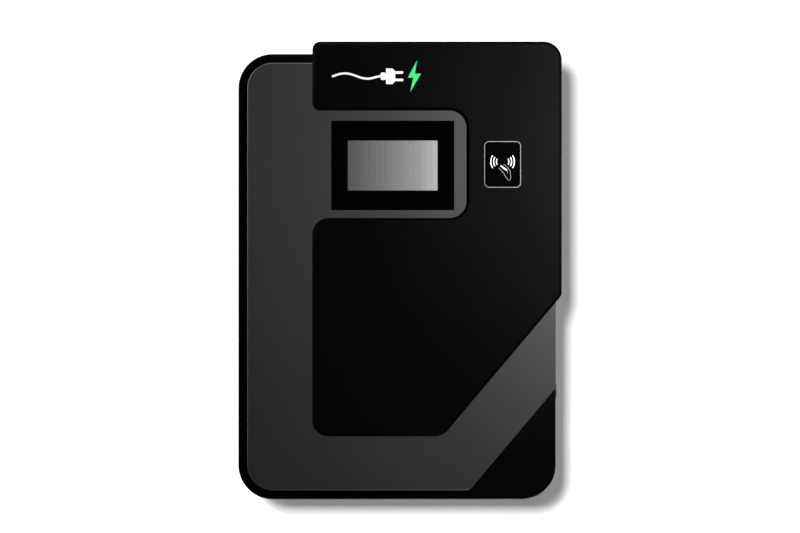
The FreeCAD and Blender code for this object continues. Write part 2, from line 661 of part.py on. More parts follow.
def make_fans():
    """Square frames on the module's open end, each with a bearing boss on struts and one rotor."""
    start = MODULE_RIGHT
    frames = []
    for n, z in enumerate(fan_heights()):
        size_z, size_d = about(z, "fan_size / 2"), about(MODULE_MIDDLE, "fan_size / 2")
        block = box("fan_block", ahead_of(start, "fan_thick"), size_d, size_z)
        hole = rod("fan_hole", "fan_bore", "right", (f"{start} - 1", MODULE_MIDDLE, z), "fan_thick + 2")
        boss = rod("fan_boss", "fan_hub", "right", (start, MODULE_MIDDLE, z), "fan_stand")
        along, thin = "fan_bore + 0.5", "strut / 2"
        struts = [
            box("fan_strut", ahead_of(start, "fan_stand"), about(MODULE_MIDDLE, half_d), about(z, half_z))
            for half_d, half_z in ((thin, along), (along, thin))
        ]
        bore = rod("fan_bearing", "fan_axle + fan_clear", "right", (f"{start} - 1", MODULE_MIDDLE, z),
                   "fan_stand + 2")
        spider = fuse("fan_spider", cut("fan_ring", block, hole), boss, *struts)
        frames.append(cut("fan_frame", spider, bore))
    group("fan_frames", *frames)
    rotor = rotor_shape()
    for name, z in zip(("lower", "middle", "upper"), fan_heights()):
        made = doc.addObject("Part::Feature", f"fan_rotor_{name}")
        made.Shape = rotor
        place(made, (start, MODULE_MIDDLE, z))
        node(made, f"fan_rotor_{name}")


def rotor_shape():
    """Hub cup, axle and pitched blades, about its own X axis with the frame's inner end at x = 0."""
    hub, tip, stand = size("fan_hub"), size("fan_tip"), size("fan_stand")
    along = FreeCAD.Vector(1, 0, 0)
    width = size("fan_thick") - stand - 4
    first = stand + 1
    cup = Part.makeCylinder(hub, width, FreeCAD.Vector(first, 0, 0), along)
    axle = Part.makeCylinder(size("fan_axle"), first + 1 - 0.5, FreeCAD.Vector(0.5, 0, 0), along)
    solid = cup.fuse(axle)
    middle = first + width / 2
    blades = []
    for n in range(ROTOR_BLADES):
        wires = []
        for radius, pitch, chord in ((hub - 1, 52, 19), (tip, 30, 27)):
            run = min(chord * math.sin(math.radians(pitch)), width - 1) / 2
            turn = chord * math.cos(math.radians(pitch)) / 2
            thick = 0.8
            section = [(-run, -turn - thick), (-run, -turn + thick),
                       (run, turn + thick), (run, turn - thick), (-run, -turn - thick)]
            corners = [FreeCAD.Vector(middle + a, b, radius) for a, b in section]
            wires.append(Part.makePolygon(corners))
        blade = Part.makeLoft(wires, True, True)
        blade.rotate(FreeCAD.Vector(), along, 360 / ROTOR_BLADES * n)
        blades.append(blade)
    sweep = Part.makeCylinder(tip, width, FreeCAD.Vector(first, 0, 0), along)
    return solid.fuse([blade.common(sweep) for blade in blades]).removeSplitter()


# ---------------------------------------------------------------- switchgear
def toggle(name, x, depth, z, width, barrel, reach, thick):
    """Lever on a round barrel that turns about X, tipped up by toggle_tilt."""
    pivot = rod(name + "_barrel", barrel, "right", (f"{x} - ({width}) / 2", depth, z), width)
    arm = doc.addObject("Part::Box", name + "_arm")
    bind(arm, "Length", width)
    bind(arm, "Width", reach)
    bind(arm, "Height", thick)
    tilt = -size("toggle_tilt")
    arm.Placement = FreeCAD.Placement(FreeCAD.Vector(), FreeCAD.Rotation(FreeCAD.Vector(1, 0, 0), tilt))
    swing = f"toggle_tilt * {math.pi} / 180"
    bind(arm, "Placement.Base.x", f"{x} - ({width}) / 2")
    drop = f"cos(({swing}) * 1rad)"
    lift = f"sin(({swing}) * 1rad)"
    bind(arm, "Placement.Base.y", f"-({depth}) - ({reach}) * {drop} - ({thick}) / 2 * {lift}")
    bind(arm, "Placement.Base.z", f"{z} + ({reach}) * {lift} - ({thick}) / 2 * {drop}")
    return fuse(name + "_shape", pivot, arm)


def make_main_breaker():
    """Moulded-case breaker with a stepped front, terminal wells and a toggle in a slot."""
    x = ("breaker_left", "breaker_left + breaker_width")
    z = (BREAKER_LOW, BREAKER_HIGH)
    shoulder = f"{PLATE_FACE} + breaker_deep"
    middle_x, middle_z = "breaker_left + breaker_width / 2", f"{BREAKER_LOW} + breaker_height / 2"
    nose = box("breaker_nose", x, (shoulder, f"{shoulder} + breaker_nose"),
               (f"{middle_z} - breaker_nose_height / 2", f"{middle_z} + breaker_nose_height / 2"))
    tools = [box("toggle_slot", (f"{middle_x} - toggle_width / 2 - 1", f"{middle_x} + toggle_width / 2 + 1"),
                 (f"{shoulder} - 2", f"{shoulder} + breaker_nose + 1"),
                 (f"{middle_z} - toggle_slot / 2", f"{middle_z} + toggle_slot / 2"))]
    for pole in (-1, 0, 1):
        well = (f"{middle_x} + {pole} * 29 - 10", f"{middle_x} + {pole} * 29 + 10")
        for low, high in ((f"{BREAKER_LOW} - 1", f"{BREAKER_LOW} + 20"),
                          (f"{BREAKER_LOW} + breaker_height - 20", f"{BREAKER_LOW} + breaker_height + 1")):
            tools.append(box("terminal_well", well, (f"{PLATE_FACE} + 26", f"{shoulder} + 1"), (low, high)))
    blank = fuse("breaker_blank", box("breaker_case", x, (PLATE_FACE, shoulder), z), nose)
    node(cut("breaker_shape", blank, *tools), "main_breaker")
    lever = toggle("breaker_toggle", middle_x, f"{shoulder} + 6", middle_z,
                   "toggle_width", "toggle_barrel", "toggle_reach", "toggle_thick")
    return node(lever, "breaker_toggle")


def din_device(name, left, steps, slot=False):
    """Rail-mounted unit a whole number of module steps wide, with the usual stepped front."""
    start = f"{PLATE_FACE} + rail_thick"
    width = f"{steps} * module_step"
    x = (left, f"{left} + {width} - 0.5")
    shoulder = f"{start} + device_deep"
    back = box(name + "_back", x, (start, shoulder), about(RAIL_Z, "device_height / 2"))
    front = box(name + "_nose", x, ahead_of(shoulder, "nose_deep"), about(RAIL_Z, "nose_height / 2"))
    tools = []
    for n in range(steps):
        middle = f"{left} + {n + 0.5} * module_step"
        for side in (-1, 1):
            at = (middle, f"{shoulder} - 6", f"{RAIL_Z} + {side} * 34")
            tools.append(rod("device_screw", "3", "front", at, "7"))
    if slot:
        middle = f"{left} + {width} / 2"
        tools.append(box(name + "_slot", about(middle, "small_width / 2 + 1"),
                         (f"{shoulder} + 6", f"{shoulder} + nose_deep + 1"),
                         about(RAIL_Z, "small_slot / 2")))
    return cut(name + "_shape", fuse(name + "_blank", back, front), *tools)


RAIL_LEFT = "(breaker_left + breaker_width + 14)"


def make_din_row():
    """Rail with surge arrester, control breaker, energy meter and 24 V supply side by side."""
    widths = {"surge_arrester": 4, "control_breaker": 2, "energy_meter": 4, "control_supply": 5}
    left = f"{RAIL_LEFT} + 6"
    for name, steps in widths.items():
        node(din_device(name, left, steps, slot=name == "control_breaker"), name)
        if name == "control_breaker":
            pivot = f"{PLATE_FACE} + rail_thick + device_deep + nose_deep - 7"
            lever = toggle("control_toggle", f"{left} + module_step", pivot, RAIL_Z,
                           "small_width", "small_barrel", "small_reach", "small_thick")
            node(lever, "control_breaker_toggle")
        left = f"{left} + {steps} * module_step"
    rail = box("rail_bar", (RAIL_LEFT, f"{left} + 6"), (PLATE_FACE, f"{PLATE_FACE} + rail_thick"),
               (f"{RAIL_Z} - rail_height / 2", f"{RAIL_Z} + rail_height / 2"))
    channel = box("rail_channel", (f"{RAIL_LEFT} - 1", f"{left} + 7"),
                  (f"{PLATE_FACE} + 1", f"{PLATE_FACE} + rail_thick + 1"),
                  (f"{RAIL_Z} - rail_height / 2 + 5", f"{RAIL_Z} + rail_height / 2 - 5"))
    return node(cut("rail_shape", rail, channel), "din_rail")


def make_contactors():
    """Sealed direct-current contactors with two threaded studs each."""
    made = []
    for n in range(CONTACTOR_COUNT):
        left = f"contactor_left + {n} * contactor_pitch"
        x = (left, f"{left} + contactor_width")
        top = f"{PLATE_FACE} + contactor_deep"
        body = box("contactor_body", x, (PLATE_FACE, top), ahead_of(SWITCH_LOW, "contactor_height"))
        parts = [body]
        for side in (0.27, 0.73):
            at = (f"{left} + {side} * contactor_width", top, f"{SWITCH_LOW} + contactor_height / 2")
            parts.append(rod("contactor_seat", "2 * stud", "front", at, "4"))
            parts.append(rod("contactor_stud", "stud", "front", at, "16"))
        made.append(fuse("contactor", *parts))
    return group("dc_contactors", *made)


def make_input_terminals():
    """A row of feed-through clamps for three phases, neutral and earth."""
    made = []
    for n in range(TERMINAL_COUNT):
        left = f"breaker_left + {n} * terminal_pitch"
        x = (left, f"{left} + terminal_pitch - 0.4")
        top = f"{PLATE_FACE} + terminal_deep"
        block = box("terminal_block", x, (PLATE_FACE, top), ahead_of(SWITCH_LOW, "terminal_height"))
        middle = f"{left} + terminal_pitch / 2 - 0.2"
        tools = [
            rod("terminal_key", "4.5", "front", (middle, f"{top} - 12", f"{SWITCH_LOW} + {z}"), "13")
            for z in ("12", "terminal_height - 12")
        ]
        made.append(cut("terminal", block, *tools))
    return group("input_terminals", *made)


def make_earth_bar():
    """Brass bar on two feet with clamping screws."""
    near = f"{PLATE_FACE} + 14"
    z = (f"{EARTH_Z} - earth_height / 2", f"{EARTH_Z} + earth_height / 2")
    bar = box("earth_strip", ("earth_left", "earth_left + earth_length"), (near, f"{near} + earth_thick"), z)
    along = lambda share: f"earth_left + {share} * earth_length"
    feet = [
        rod("earth_foot", "5", "front", (along(share), PLATE_FACE, EARTH_Z), "14")
        for share in (0.06, 0.94)
    ]
    screws = [
        rod("earth_screw", "3.5", "front", (along(0.14 + n * 0.09), f"{near} + earth_thick", EARTH_Z), "4")
        for n in range(9)
    ]
    return node(fuse("earth_shape", bar, *feet, *screws), "earth_bar")


def make_ducts():
    """Slotted wiring duct above and below the rail, each an open U with comb sides."""
    made = []
    right = f"{SIDE} - flange_width - 10"
    levels = (f"{RAIL_Z} + device_height / 2 + 6", f"{RAIL_Z} - device_height / 2 - 6 - duct_height")
    for n, low in enumerate(levels):
        left = RAIL_LEFT
        length = f"({right} - ({left}))"
        piece = Piece(f"duct_{n}")
        section = rectangle((left, right), (low, f"{low} + duct_height"))
        piece.pad(piece.sketch("XZ_Plane", PLATE_FACE, [section]), "duct_deep")
        inner = rectangle((f"{left} - 1", f"{right} + 1"),
                          (f"{low} + duct_wall", f"{low} + duct_height - duct_wall"))
        sketch = piece.sketch("XZ_Plane", f"{PLATE_FACE} + duct_deep", [inner])
        piece.pocket(sketch, "duct_deep - duct_wall")
        slot = rectangle(ahead_of(f"{left} + 6", "duct_slot"), (f"{low} - 1", f"{low} + duct_height + 1"))
        sketch = piece.sketch("XZ_Plane", f"{PLATE_FACE} + duct_deep", [slot])
        comb = piece.pocket(sketch, "duct_deep - 12")
        count = int((size(length) - 12) // size("duct_pitch"))
        piece.repeat(comb, "X_Axis", f"duct_pitch * {count - 1}", count)
        made.append(piece.body)
    return group("wiring_ducts", *made)


def make_control_board():
    """Folded tray on four posts in front of the power module, with the charge controller's board."""
    top = f"{PLATE_FACE} + {MODULE_THICK}"
    x = ("board_left", "board_left + board_width")
    z = (BOARD_LOW, f"{BOARD_LOW} + board_height")
    on_board = lambda share_x, share_z, depth: (
        f"board_left + {share_x} * board_width", depth, f"{BOARD_LOW} + {share_z} * board_height")
    posts = [
        rod("tray_post", "4", "front", on_board(sx, sz, top), "10")
        for sx in (0.06, 0.94) for sz in (0.08, 0.92)
    ]
    plate = box("tray_sheet", x, (f"{top} + 10", f"{top} + 10 + tray_plate"), z)
    lips = [
        box("tray_lip", x, (f"{top} + 10", f"{top} + 24"), (edge, f"{edge} + tray_plate"))
        for edge in (BOARD_LOW, f"{BOARD_LOW} + board_height - tray_plate")
    ]
    node(fuse("tray_shape", plate, *lips, *posts), "board_tray")
    deck = f"{top} + 16"
    face = f"{deck} + board_thick"
    parts = [box("board_sheet", ("board_left + 8", "board_left + board_width - 8"), (deck, face),
                 (f"{BOARD_LOW} + 10", f"{BOARD_LOW} + board_height - 10"))]
    parts += [
        rod("board_post", "3", "front", on_board(sx, sz, f"{top} + 10 + tray_plate"), "4")
        for sx in (0.1, 0.9) for sz in (0.15, 0.85)
    ]
    chips = (  # left share, low share, width, height, thickness
        (0.12, 0.66, 26, 22, 14), (0.28, 0.66, 26, 22, 14), (0.44, 0.66, 26, 22, 14),
        (0.62, 0.62, 24, 24, 3), (0.78, 0.60, 30, 34, 12), (0.14, 0.30, 18, 30, 18),
        (0.26, 0.30, 44, 34, 20), (0.52, 0.32, 34, 20, 5), (0.74, 0.28, 14, 14, 4),
        (0.12, 0.11, 70, 12, 12), (0.50, 0.11, 70, 12, 12),
    )
    for left, low, width, height, thick in chips:
        x0, _, z0 = on_board(left, low, face)
        parts.append(box("chip", ahead_of(x0, width), ahead_of(face, thick), ahead_of(z0, height)))
    for n in range(4):
        parts.append(rod("capacitor", "4.2", "front", on_board(0.54 + 0.055 * n, 0.52, face), "12"))
    return group("control_board", *parts)


def lead_path(points):
    """Straight runs joined by tangent arcs, each 0.45 of its shorter run."""
    edges, here = [], points[0]
    for before, corner, after in zip(points, points[1:], points[2:]):
        back, ahead = before - corner, after - corner
        reach = 0.45 * min(back.Length, ahead.Length)
        start = corner + back.normalize() * reach
        end = corner + ahead.normalize() * reach
        edges.append(Part.LineSegment(here, start).toShape())
        inward = (start + end) * 0.5 - corner
        angle = back.getAngle(ahead)
        radius = reach * math.tan(angle / 2)
        bend = corner + inward.normalize() * (radius / math.sin(angle / 2) - radius)
        edges.append(Part.Arc(start, bend, end).toShape())
        here = end
    edges.append(Part.LineSegment(here, points[-1]).toShape())
    return Part.Wire(edges)


def make_power_leads():
    """Insulated leads: three from the terminals to the breaker, three on to the module, two out."""
    routes = []
    well = size(f"{PLATE_FACE} + 40")
    breaker_x = size("breaker_left + breaker_width / 2")
    breaker_foot, breaker_head = size(BREAKER_LOW), size(BREAKER_HIGH)
    module_x, module_foot = size("module_left + 59"), size(f"{MODULE_LOW} - 14")
    clamp, clamp_depth = size(f"{SWITCH_LOW} + terminal_height"), size(f"{PLATE_FACE} + terminal_deep / 2")
    for pole in (-1, 0, 1):
        x = breaker_x + pole * 29
        terminal = size(f"breaker_left + {pole + 1.5} * terminal_pitch")
        routes.append([(terminal, clamp_depth, clamp), (terminal, clamp_depth, clamp + 12),
                       (x, well, breaker_foot), (x, well, breaker_foot + 20)])
        routes.append([(x, well, breaker_head - 20), (x, well, breaker_head + 10),
                       (module_x + pole * 26, well, module_foot - 14),
                       (module_x + pole * 26, well, module_foot)])
    run = size(f"{PLATE_FACE} + duct_deep + lead + 2")
    over = size(f"{PLATE_FACE} + contactor_deep + 4 + lead")
    stud = size(f"{SWITCH_LOW} + contactor_height / 2 + stud")
    for n in range(2):
        x = size("module_left + module_width - 50") + n * 28
        far = size(f"contactor_left + {n} * contactor_pitch + 0.73 * contactor_width")
        level = size(f"{SWITCH_LOW} + contactor_height") + 22 - n * 14
        routes.append([(x, run, module_foot), (x, run, level), (far, run, level), (far, over, level),
                       (far, over, stud)])
    radius = size("lead")
    tubes = []
    for route in routes:
        points = [FreeCAD.Vector(x, -depth, z) for x, depth, z in route]
        path = lead_path(points)
        start = Part.Circle(points[0], points[1] - points[0], radius).toShape()
        tube = path.makePipeShell([Part.Wire([start])], True, True)
        if abs(tube.Volume / (math.pi * radius ** 2 * path.Length) - 1) > 0.01:
            raise ValueError("a lead's volume isn't its section times its length")
        tubes.append(tube)
    made = doc.addObject("Part::Feature", "power_leads")
    made.Shape = Part.makeCompound(tubes)
    return node(made, "power_leads")


# ---------------------------------------------------------------- emergency stop
def make_stop_switch():
    """Mushroom push button in a cup sunk into the right-hand wall, so that it can't be knocked."""
    at = lambda x: (x, "stop_depth", STOP_Z)
    floor = f"{SIDE} - cup_deep"
    rim = rod("cup_rim", "cup_radius + cup_flange", "right", at(SIDE), "cup_wall")
    wall = rod("cup_shell", "cup_radius", "right", at(floor), "cup_deep")
    well = rod("cup_well", "cup_radius - cup_wall", "right", at(f"{floor} + cup_wall"),
               "cup_deep + cup_wall")
    hole = rod("cup_hole", "barrel", "right", at(f"{floor} - 1"), "cup_wall + 2")
    node(cut("cup_shape", fuse("cup_blank", rim, wall), well, hole), "stop_recess_cup")

    deck = f"{floor} + cup_wall"
    collar = rod("stop_collar", "collar", "right", at(deck), "3")
    barrel = rod("stop_barrel", "barrel", "right", at(f"{deck} - 22"), "22")
    block = box("stop_block", (f"{deck} - 52", f"{deck} - 22"), ("stop_depth - 15", "stop_depth + 15"),
                (f"{STOP_Z} - 20", f"{STOP_Z} + 20"))
    bore = rod("stop_bore", "plunger + pin_gap", "right", at(f"{deck} - 30"), "40")
    node(cut("stop_body_shape", fuse("stop_blank", collar, barrel, block), bore), "stop_switch_body")

    seat = f"{deck} + 4 + stop_travel"
    start = f"{deck} - 24"
    shaft = rod("stop_shaft", "plunger", "right", at(start), f"{seat} + plunger_bite - ({start})")
    node(shaft, "stop_plunger")

    skirt = cone("stop_skirt", ("0.6 * head_radius", "head_radius"), "right", at(seat), "4")
    cap = rod("stop_cap", "head_radius", "right", at(f"{seat} + 4"), "head_thick - 4")
    crown = cone("stop_crown", ("head_radius", "0.82 * head_radius"), "right",
                 at(f"{seat} + head_thick"), "3")
    grips = []
    for n in range(3):
        angle = 90 + 120 * n
        across = math.cos(math.radians(angle))
        along = math.sin(math.radians(angle))
        grips.append(rod("stop_grip", "3.5", "right",
                         (f"{seat} - 1", f"stop_depth + {across:.6f} * (head_radius + 1.5)",
                          f"{STOP_Z} + {along:.6f} * (head_radius + 1.5)"), "head_thick + 6"))
    bore = rod("stop_head_bore", "plunger + pin_gap", "right", at(f"{seat} - 1"), "plunger_bite + 1")
    blank = fuse("stop_head_blank", skirt, cap, crown)
    return node(cut("stop_head_shape", blank, bore, *grips), "stop_head")


# ---------------------------------------------------------------- door
def fascia_outline(grow="0"):
    """The grey panel: concentric with the door's corners, its lower right corner cut off."""
    left = f"-(door_width / 2 - rim) - ({grow})"
    right = f"door_width / 2 + ({grow})"
    top = f"door_height / 2 - rim + ({grow})"
    low = f"-(door_height / 2 - rim) - ({grow})"
    corner = f"door_corner - rim + ({grow})"
    cut_high = f"{low} + (door_width / 2 + ({grow}) - fascia_cut_x) * cut_slope"
    return [
        (left, low, corner), ("fascia_cut_x", low, "fascia_cut_corner"),
        (right, cut_high, None), (right, top, corner), (left, top, corner),
    ]


def window_outline(x, z, width, height, corner=None, grow="0"):
    half_x, half_z = f"({width} / 2 + ({grow}))", f"({height} / 2 + ({grow}))"
    return rectangle((f"{x} - {half_x}", f"{x} + {half_x}"), (f"{z} - {half_z}", f"{z} + {half_z}"), corner)


def display_outline(grow="0", corner=None):
    return window_outline("display_x", "display_z", "glass_width", "glass_height", corner, grow)


def reader_outline(corner, grow="0"):
    return window_outline("reader_x", "reader_z", "reader_width", "reader_height", corner, grow)


def fixing_places():
    """Screws that hold the fascia to the pan, (x, z)."""
    side, end = "(door_width / 2 - rim - 30)", "(door_height / 2 - rim)"
    return [
        (f"-{side}", f"{end} - 74"), (f"-{side}", "0"), (f"-{side}", f"74 - {end}"),
        ("-90", f"34 - {end}"), ("80", f"34 - {end}"), ("200", f"174 - {end}"), ("0", "-10"),
        ("200", "20"), ("200", f"{end} - 44"), ("-60", f"{end} - 34"),
    ]


def cable_hole():
    return window_outline("reader_x", "reader_z", "reader_width / 2", "reader_height / 3", "4")


def make_door_pan():
    """Steel pan whose sides lap over the housing's front edge."""
    piece = Piece("door_pan")
    half_x, half_z = "door_width / 2", "door_height / 2"
    outer = rectangle((f"-{half_x}", half_x), (f"-{half_z}", half_z), "door_corner")
    piece.pad(piece.sketch("XZ_Plane", "door_back", [outer]), "door_front - door_back")
    piece.dress("Fillet", "door_edge_round", "door_front")
    inner = rectangle((f"-{half_x} + door_sheet", f"{half_x} - door_sheet"),
                      (f"-{half_z} + door_sheet", f"{half_z} - door_sheet"), "door_corner - door_sheet")
    sketch = piece.sketch("XZ_Plane", "door_back", [inner])
    piece.pocket(sketch, "door_front - door_back - door_sheet", along_normal=True)
    openings = [display_outline("-support_lip", "4"), cable_hole()]
    holes = [(x, z, "fixing_hole") for x, z in fixing_places()]
    piece.pocket(piece.sketch("XZ_Plane", "door_front", openings, holes), "2 * door_sheet")
    locks = [("-lock_depth", f"{side} * {LOCK_Z}", "lock_barrel + fit_gap") for side in (-1, 1)]
    piece.pocket(piece.sketch("YZ_Plane", half_x, circles=locks), "2 * door_sheet")
    return piece.node()


def make_fascia():
    """Moulded grey panel on the front of the pan, with the display's opening."""
    piece = Piece("grey_fascia")
    openings = [display_outline("fit_gap"), cable_hole()]
    piece.pad(piece.sketch("XZ_Plane", "door_front", [fascia_outline(), *openings]), "fascia_thick")
    piece.dress("Chamfer", "fascia_edge", "door_front + fascia_thick")
    holes = [(x, z, "fixing") for x, z in fixing_places()]
    sketch = piece.sketch("XZ_Plane", "door_front", circles=holes)
    piece.pocket(sketch, "fixing_bite", along_normal=True)
    return piece.node()


def cover_outline(inset="0"):
    """C-shaped outline round the display bay, drawn inset from the cover's own edge."""
    left, drop = f"-cover_left + ({inset})", f"-cover_drop + ({inset})"
    lean = f"({inset}) * (1 - sqrt(1 + cut_slope ^ 2)) / cut_slope"
    foot = f"cover_cut_x + {lean}"
    if inset == "0":
        right, top = "door_width / 2 + cover_reach", "door_height / 2 + cover_rise"
        crown = "crown_corner"
    else:
        right, top = f"door_width / 2 - ({inset})", f"door_height / 2 - rim - ({inset})"
        crown = "crown_corner + 8"
    shoulder = f"{drop} + ({right} - ({foot})) * cut_slope"
    bay = f"bay_corner + ({inset})"
    return [
        (left, drop, f"block_corner - ({inset})"), (foot, drop, f"block_corner - ({inset})"),
        (right, shoulder, "arm_corner"), (right, top, crown), (left, top, f"arm_corner - ({inset})"),
        (left, f"bay_top + ({inset})", f"arm_corner - ({inset})"),
        (f"bay_right + ({inset})", f"bay_top + ({inset})", bay),
        (f"bay_right + ({inset})", f"bay_bottom - ({inset})", bay),
        (left, f"bay_bottom - ({inset})", f"block_corner - ({inset})"),
    ]


def make_raised_cover():
    """Black moulded cover that stands proud of the fascia and overhangs the door's top and right."""
    piece = Piece("raised_cover")
    front = "door_front + fascia_thick + cover_thick"
    piece.pad(piece.sketch("XZ_Plane", "door_front", [cover_outline()]), "fascia_thick + cover_thick")
    piece.dress("Chamfer", "cover_bevel", front)
    sketch = piece.sketch("XZ_Plane", "door_front", [fascia_outline("fit_gap")])
    piece.pocket(sketch, "fascia_thick", along_normal=True)
    hollow = cover_outline("cover_wall + cover_bevel / 2")
    sketch = piece.sketch("XZ_Plane", "door_front + fascia_thick", [hollow])
    piece.pocket(sketch, "cover_thick - cover_wall", along_normal=True)
    window = reader_outline("reader_corner", "fit_gap / 2")
    piece.pocket(piece.sketch("XZ_Plane", front, [window]), "reader_sink")
    return piece.node()


def make_door_frame():
    """Angle-section ring and two channels welded inside the pan.  The ring's foot presses on the seal."""
    foot_at = "housing_front + seal_thick + running_gap"
    piece = Piece("door_frame_ring")

    def ring(outer, inner):
        outlines = []
        for inset in (outer, inner):
            x, z = f"({SIDE} - ({inset}))", f"({TOP} - ({inset}))"
            corner = f"door_corner - housing_inset - ({inset})"
            outlines.append(rectangle((f"-{x}", x), (f"-{z}", z), corner))
        return outlines

    foot = ring("seal_inset + 1", "seal_inset + seal_width")
    piece.pad(piece.sketch("XZ_Plane", foot_at, foot), "door_sheet")
    wall = ring("seal_inset + 4", "seal_inset + 4 + door_sheet")
    piece.pad(piece.sketch("XZ_Plane", foot_at, wall), f"door_front - door_sheet - ({foot_at})")
    half = f"({SIDE} - seal_inset - 5)"
    inner_face = "door_front - door_sheet"
    channels = []
    for z in ("bay_bottom - channel_drop", "channel_lift - door_height / 2"):
        near = f"{inner_face} - channel_deep"
        outer = box("channel", (f"-{half}", half), (near, inner_face),
                    about(f"({z})", "channel_half"))
        hollow = box("channel_hollow", (f"-{half} - 1", f"{half} + 1"),
                     (f"{near} + door_sheet", "door_front"),
                     about(f"({z})", "(channel_half - door_sheet)"))
        channels.append(cut("stiffener", outer, hollow))
    return node(fuse("door_frame_shape", piece.body, *channels), "door_frame")


def make_display():
    """Cover glass on the pan's lip, the LCD behind it, and a bracket that clamps it with its board."""
    front = "door_front + fascia_thick - glass_sink"
    piece = Piece("display_glass")
    ledge = f"{front} - glass_thick"
    piece.pad(piece.sketch("XZ_Plane", ledge, [display_outline()]), "glass_thick")
    piece.node()
    piece = Piece("display_gasket")
    ring = [display_outline("-fit_gap"), display_outline("-support_lip", "4")]
    piece.pad(piece.sketch("XZ_Plane", "door_front", ring), f"{ledge} - door_front")
    piece.node()
    across = lambda half: about("display_x", half)
    upright = lambda half: about("display_z", half)
    back = f"{ledge} - lcd_thick"
    node(box("lcd_slab", across("lcd_width / 2"), (back, ledge), upright("lcd_height / 2")), "lcd_module")
    plate = box("bracket_plate", across("glass_width / 2"), (f"{back} - 3", f"{back} - 1"),
                upright("glass_height / 2"))
    posts = [
        rod("bracket_post", "4", "front",
            (f"display_x + {sx} * (glass_width / 2 - 6)", f"{back} - 1",
             f"display_z + {sz} * (glass_height / 2 - 6)"), f"door_front - door_sheet - ({back} - 1)")
        for sx in (-1, 1) for sz in (-1, 1)
    ]
    pads = [
        box("bracket_pad", about(f"display_x + {sx} * 60", "8"), (f"{back} - 1", back), upright("30"))
        for sx in (-1, 1)
    ]
    node(fuse("bracket_shape", plate, *posts, *pads), "display_bracket")
    deck = f"{back} - 3 - 5"
    rear = f"{deck} - board_thick"
    parts = [box("display_sheet", across("80"), (rear, deck), upright("50"))]
    parts += [
        rod("display_post", "3", "front", (f"display_x + {sx} * 72", deck, f"display_z + {sz} * 42"), "5")
        for sx in (-1, 1) for sz in (-1, 1)
    ]
    chips = ((-60, -30, 22, 22, 2), (-20, 0, 14, 14, 2), (10, -36, 40, 10, 7), (30, 10, 26, 20, 4))
    for left, low, width, height, thick in chips:
        parts.append(box("display_chip", ahead_of(f"display_x + {left}", width),
                         (f"{rear} - {thick}", rear), ahead_of(f"display_z + {low}", height)))
    return group("display_board", *parts)


def make_reader():
    """Smoked window let into the cover, a little proud, with the aerial board in the hollow behind it."""
    front = "door_front + fascia_thick + cover_thick"
    piece = Piece("reader_window")
    pane = reader_outline("reader_corner")
    piece.pad(piece.sketch("XZ_Plane", f"{front} - reader_sink", [pane]), "reader_thick")
    piece.node()
    wall = f"{front} - cover_wall"
    piece = Piece("reader_sheet")
    piece.pad(piece.sketch("XZ_Plane", f"{wall} - 4", [reader_outline("3", "-2")]), "board_thick")
    posts = [
        rod("reader_post", "2.5", "front",
            (f"reader_x + {sx} * (reader_width / 2 - 6)", f"{wall} - 4 + board_thick",
             f"reader_z + {sz} * (reader_height / 2 - 6)"), "4 - board_thick")
        for sx in (-1, 1) for sz in (-1, 1)
    ]
    return node(fuse("reader_shape", piece.body, *posts), "reader_board")


def make_fixings():
    """Pan-head screws from inside the pan into the fascia."""
    made = []
    for x, z in fixing_places():
        inside = "door_front - door_sheet"
        shank = rod("fixing_shank", "fixing", "front", (x, inside, z), "door_sheet + fixing_bite")
        head = cone("fixing_cap", ("0.7 * fixing_head", "fixing_head"), "front",
                    (x, f"{inside} - 2.2", z), "2.2")
        made.append(fuse("fixing_screw", head, shank))
    return group("fascia_screws", *made)


# ---------------------------------------------------------------- hinges and locks
def make_hinges():
    """Two lift-off hinges behind the pan's left edge: a lower knuckle with its pin, an upper one on it."""
    axis_x = "-(door_width / 2 - hinge_inset)"
    inner = "-(door_width / 2 - door_sheet)"
    fixed, swinging, pins = [], [], []
    for side in (-1, 1):
        middle = f"{side} * {HINGE_Z}"
        low = (f"{middle} - knuckle_length", f"{middle} - 0.25")
        high = (f"{middle} + 0.25", f"{middle} + knuckle_length")
        at = lambda z: (axis_x, "hinge_depth", z)
        plate = box("housing_leaf", (f"-{SIDE} - leaf", f"-{SIDE}"),
                    ("hinge_depth - leaf_length", "hinge_depth"), low)
        web = box("housing_web", (axis_x, f"-{SIDE}"), ("hinge_depth - knuckle", "hinge_depth"), low)
        barrel = rod("housing_knuckle", "knuckle", "up", at(low[0]), f"{low[1]} - ({low[0]})")
        bore = rod("housing_bore", "hinge_pin", "up", at(f"{low[0]} + 3"), "knuckle_length")
        fixed.append(cut("fixed_leaf", fuse("fixed_blank", plate, web, barrel), bore))
        plate = box("door_leaf", (inner, f"{inner} + leaf"), ahead_of("hinge_depth", "leaf_length"), high)
        barrel = rod("door_knuckle", "knuckle", "up", at(high[0]), f"{high[1]} - ({high[0]})")
        bore = rod("door_bore", "hinge_pin + pin_gap", "up", at(f"{high[0]} - 1"), "knuckle_length - 2")
        swinging.append(cut("swing_leaf", fuse("swing_blank", plate, barrel), bore))
        pins.append(rod("pin", "hinge_pin", "up", at(f"{low[0]} + 3"), "2 * knuckle_length - 8"))
    group("hinge_housing_leaves", *fixed)
    group("hinge_door_leaves", *swinging)
    return group("hinge_pins", *pins)


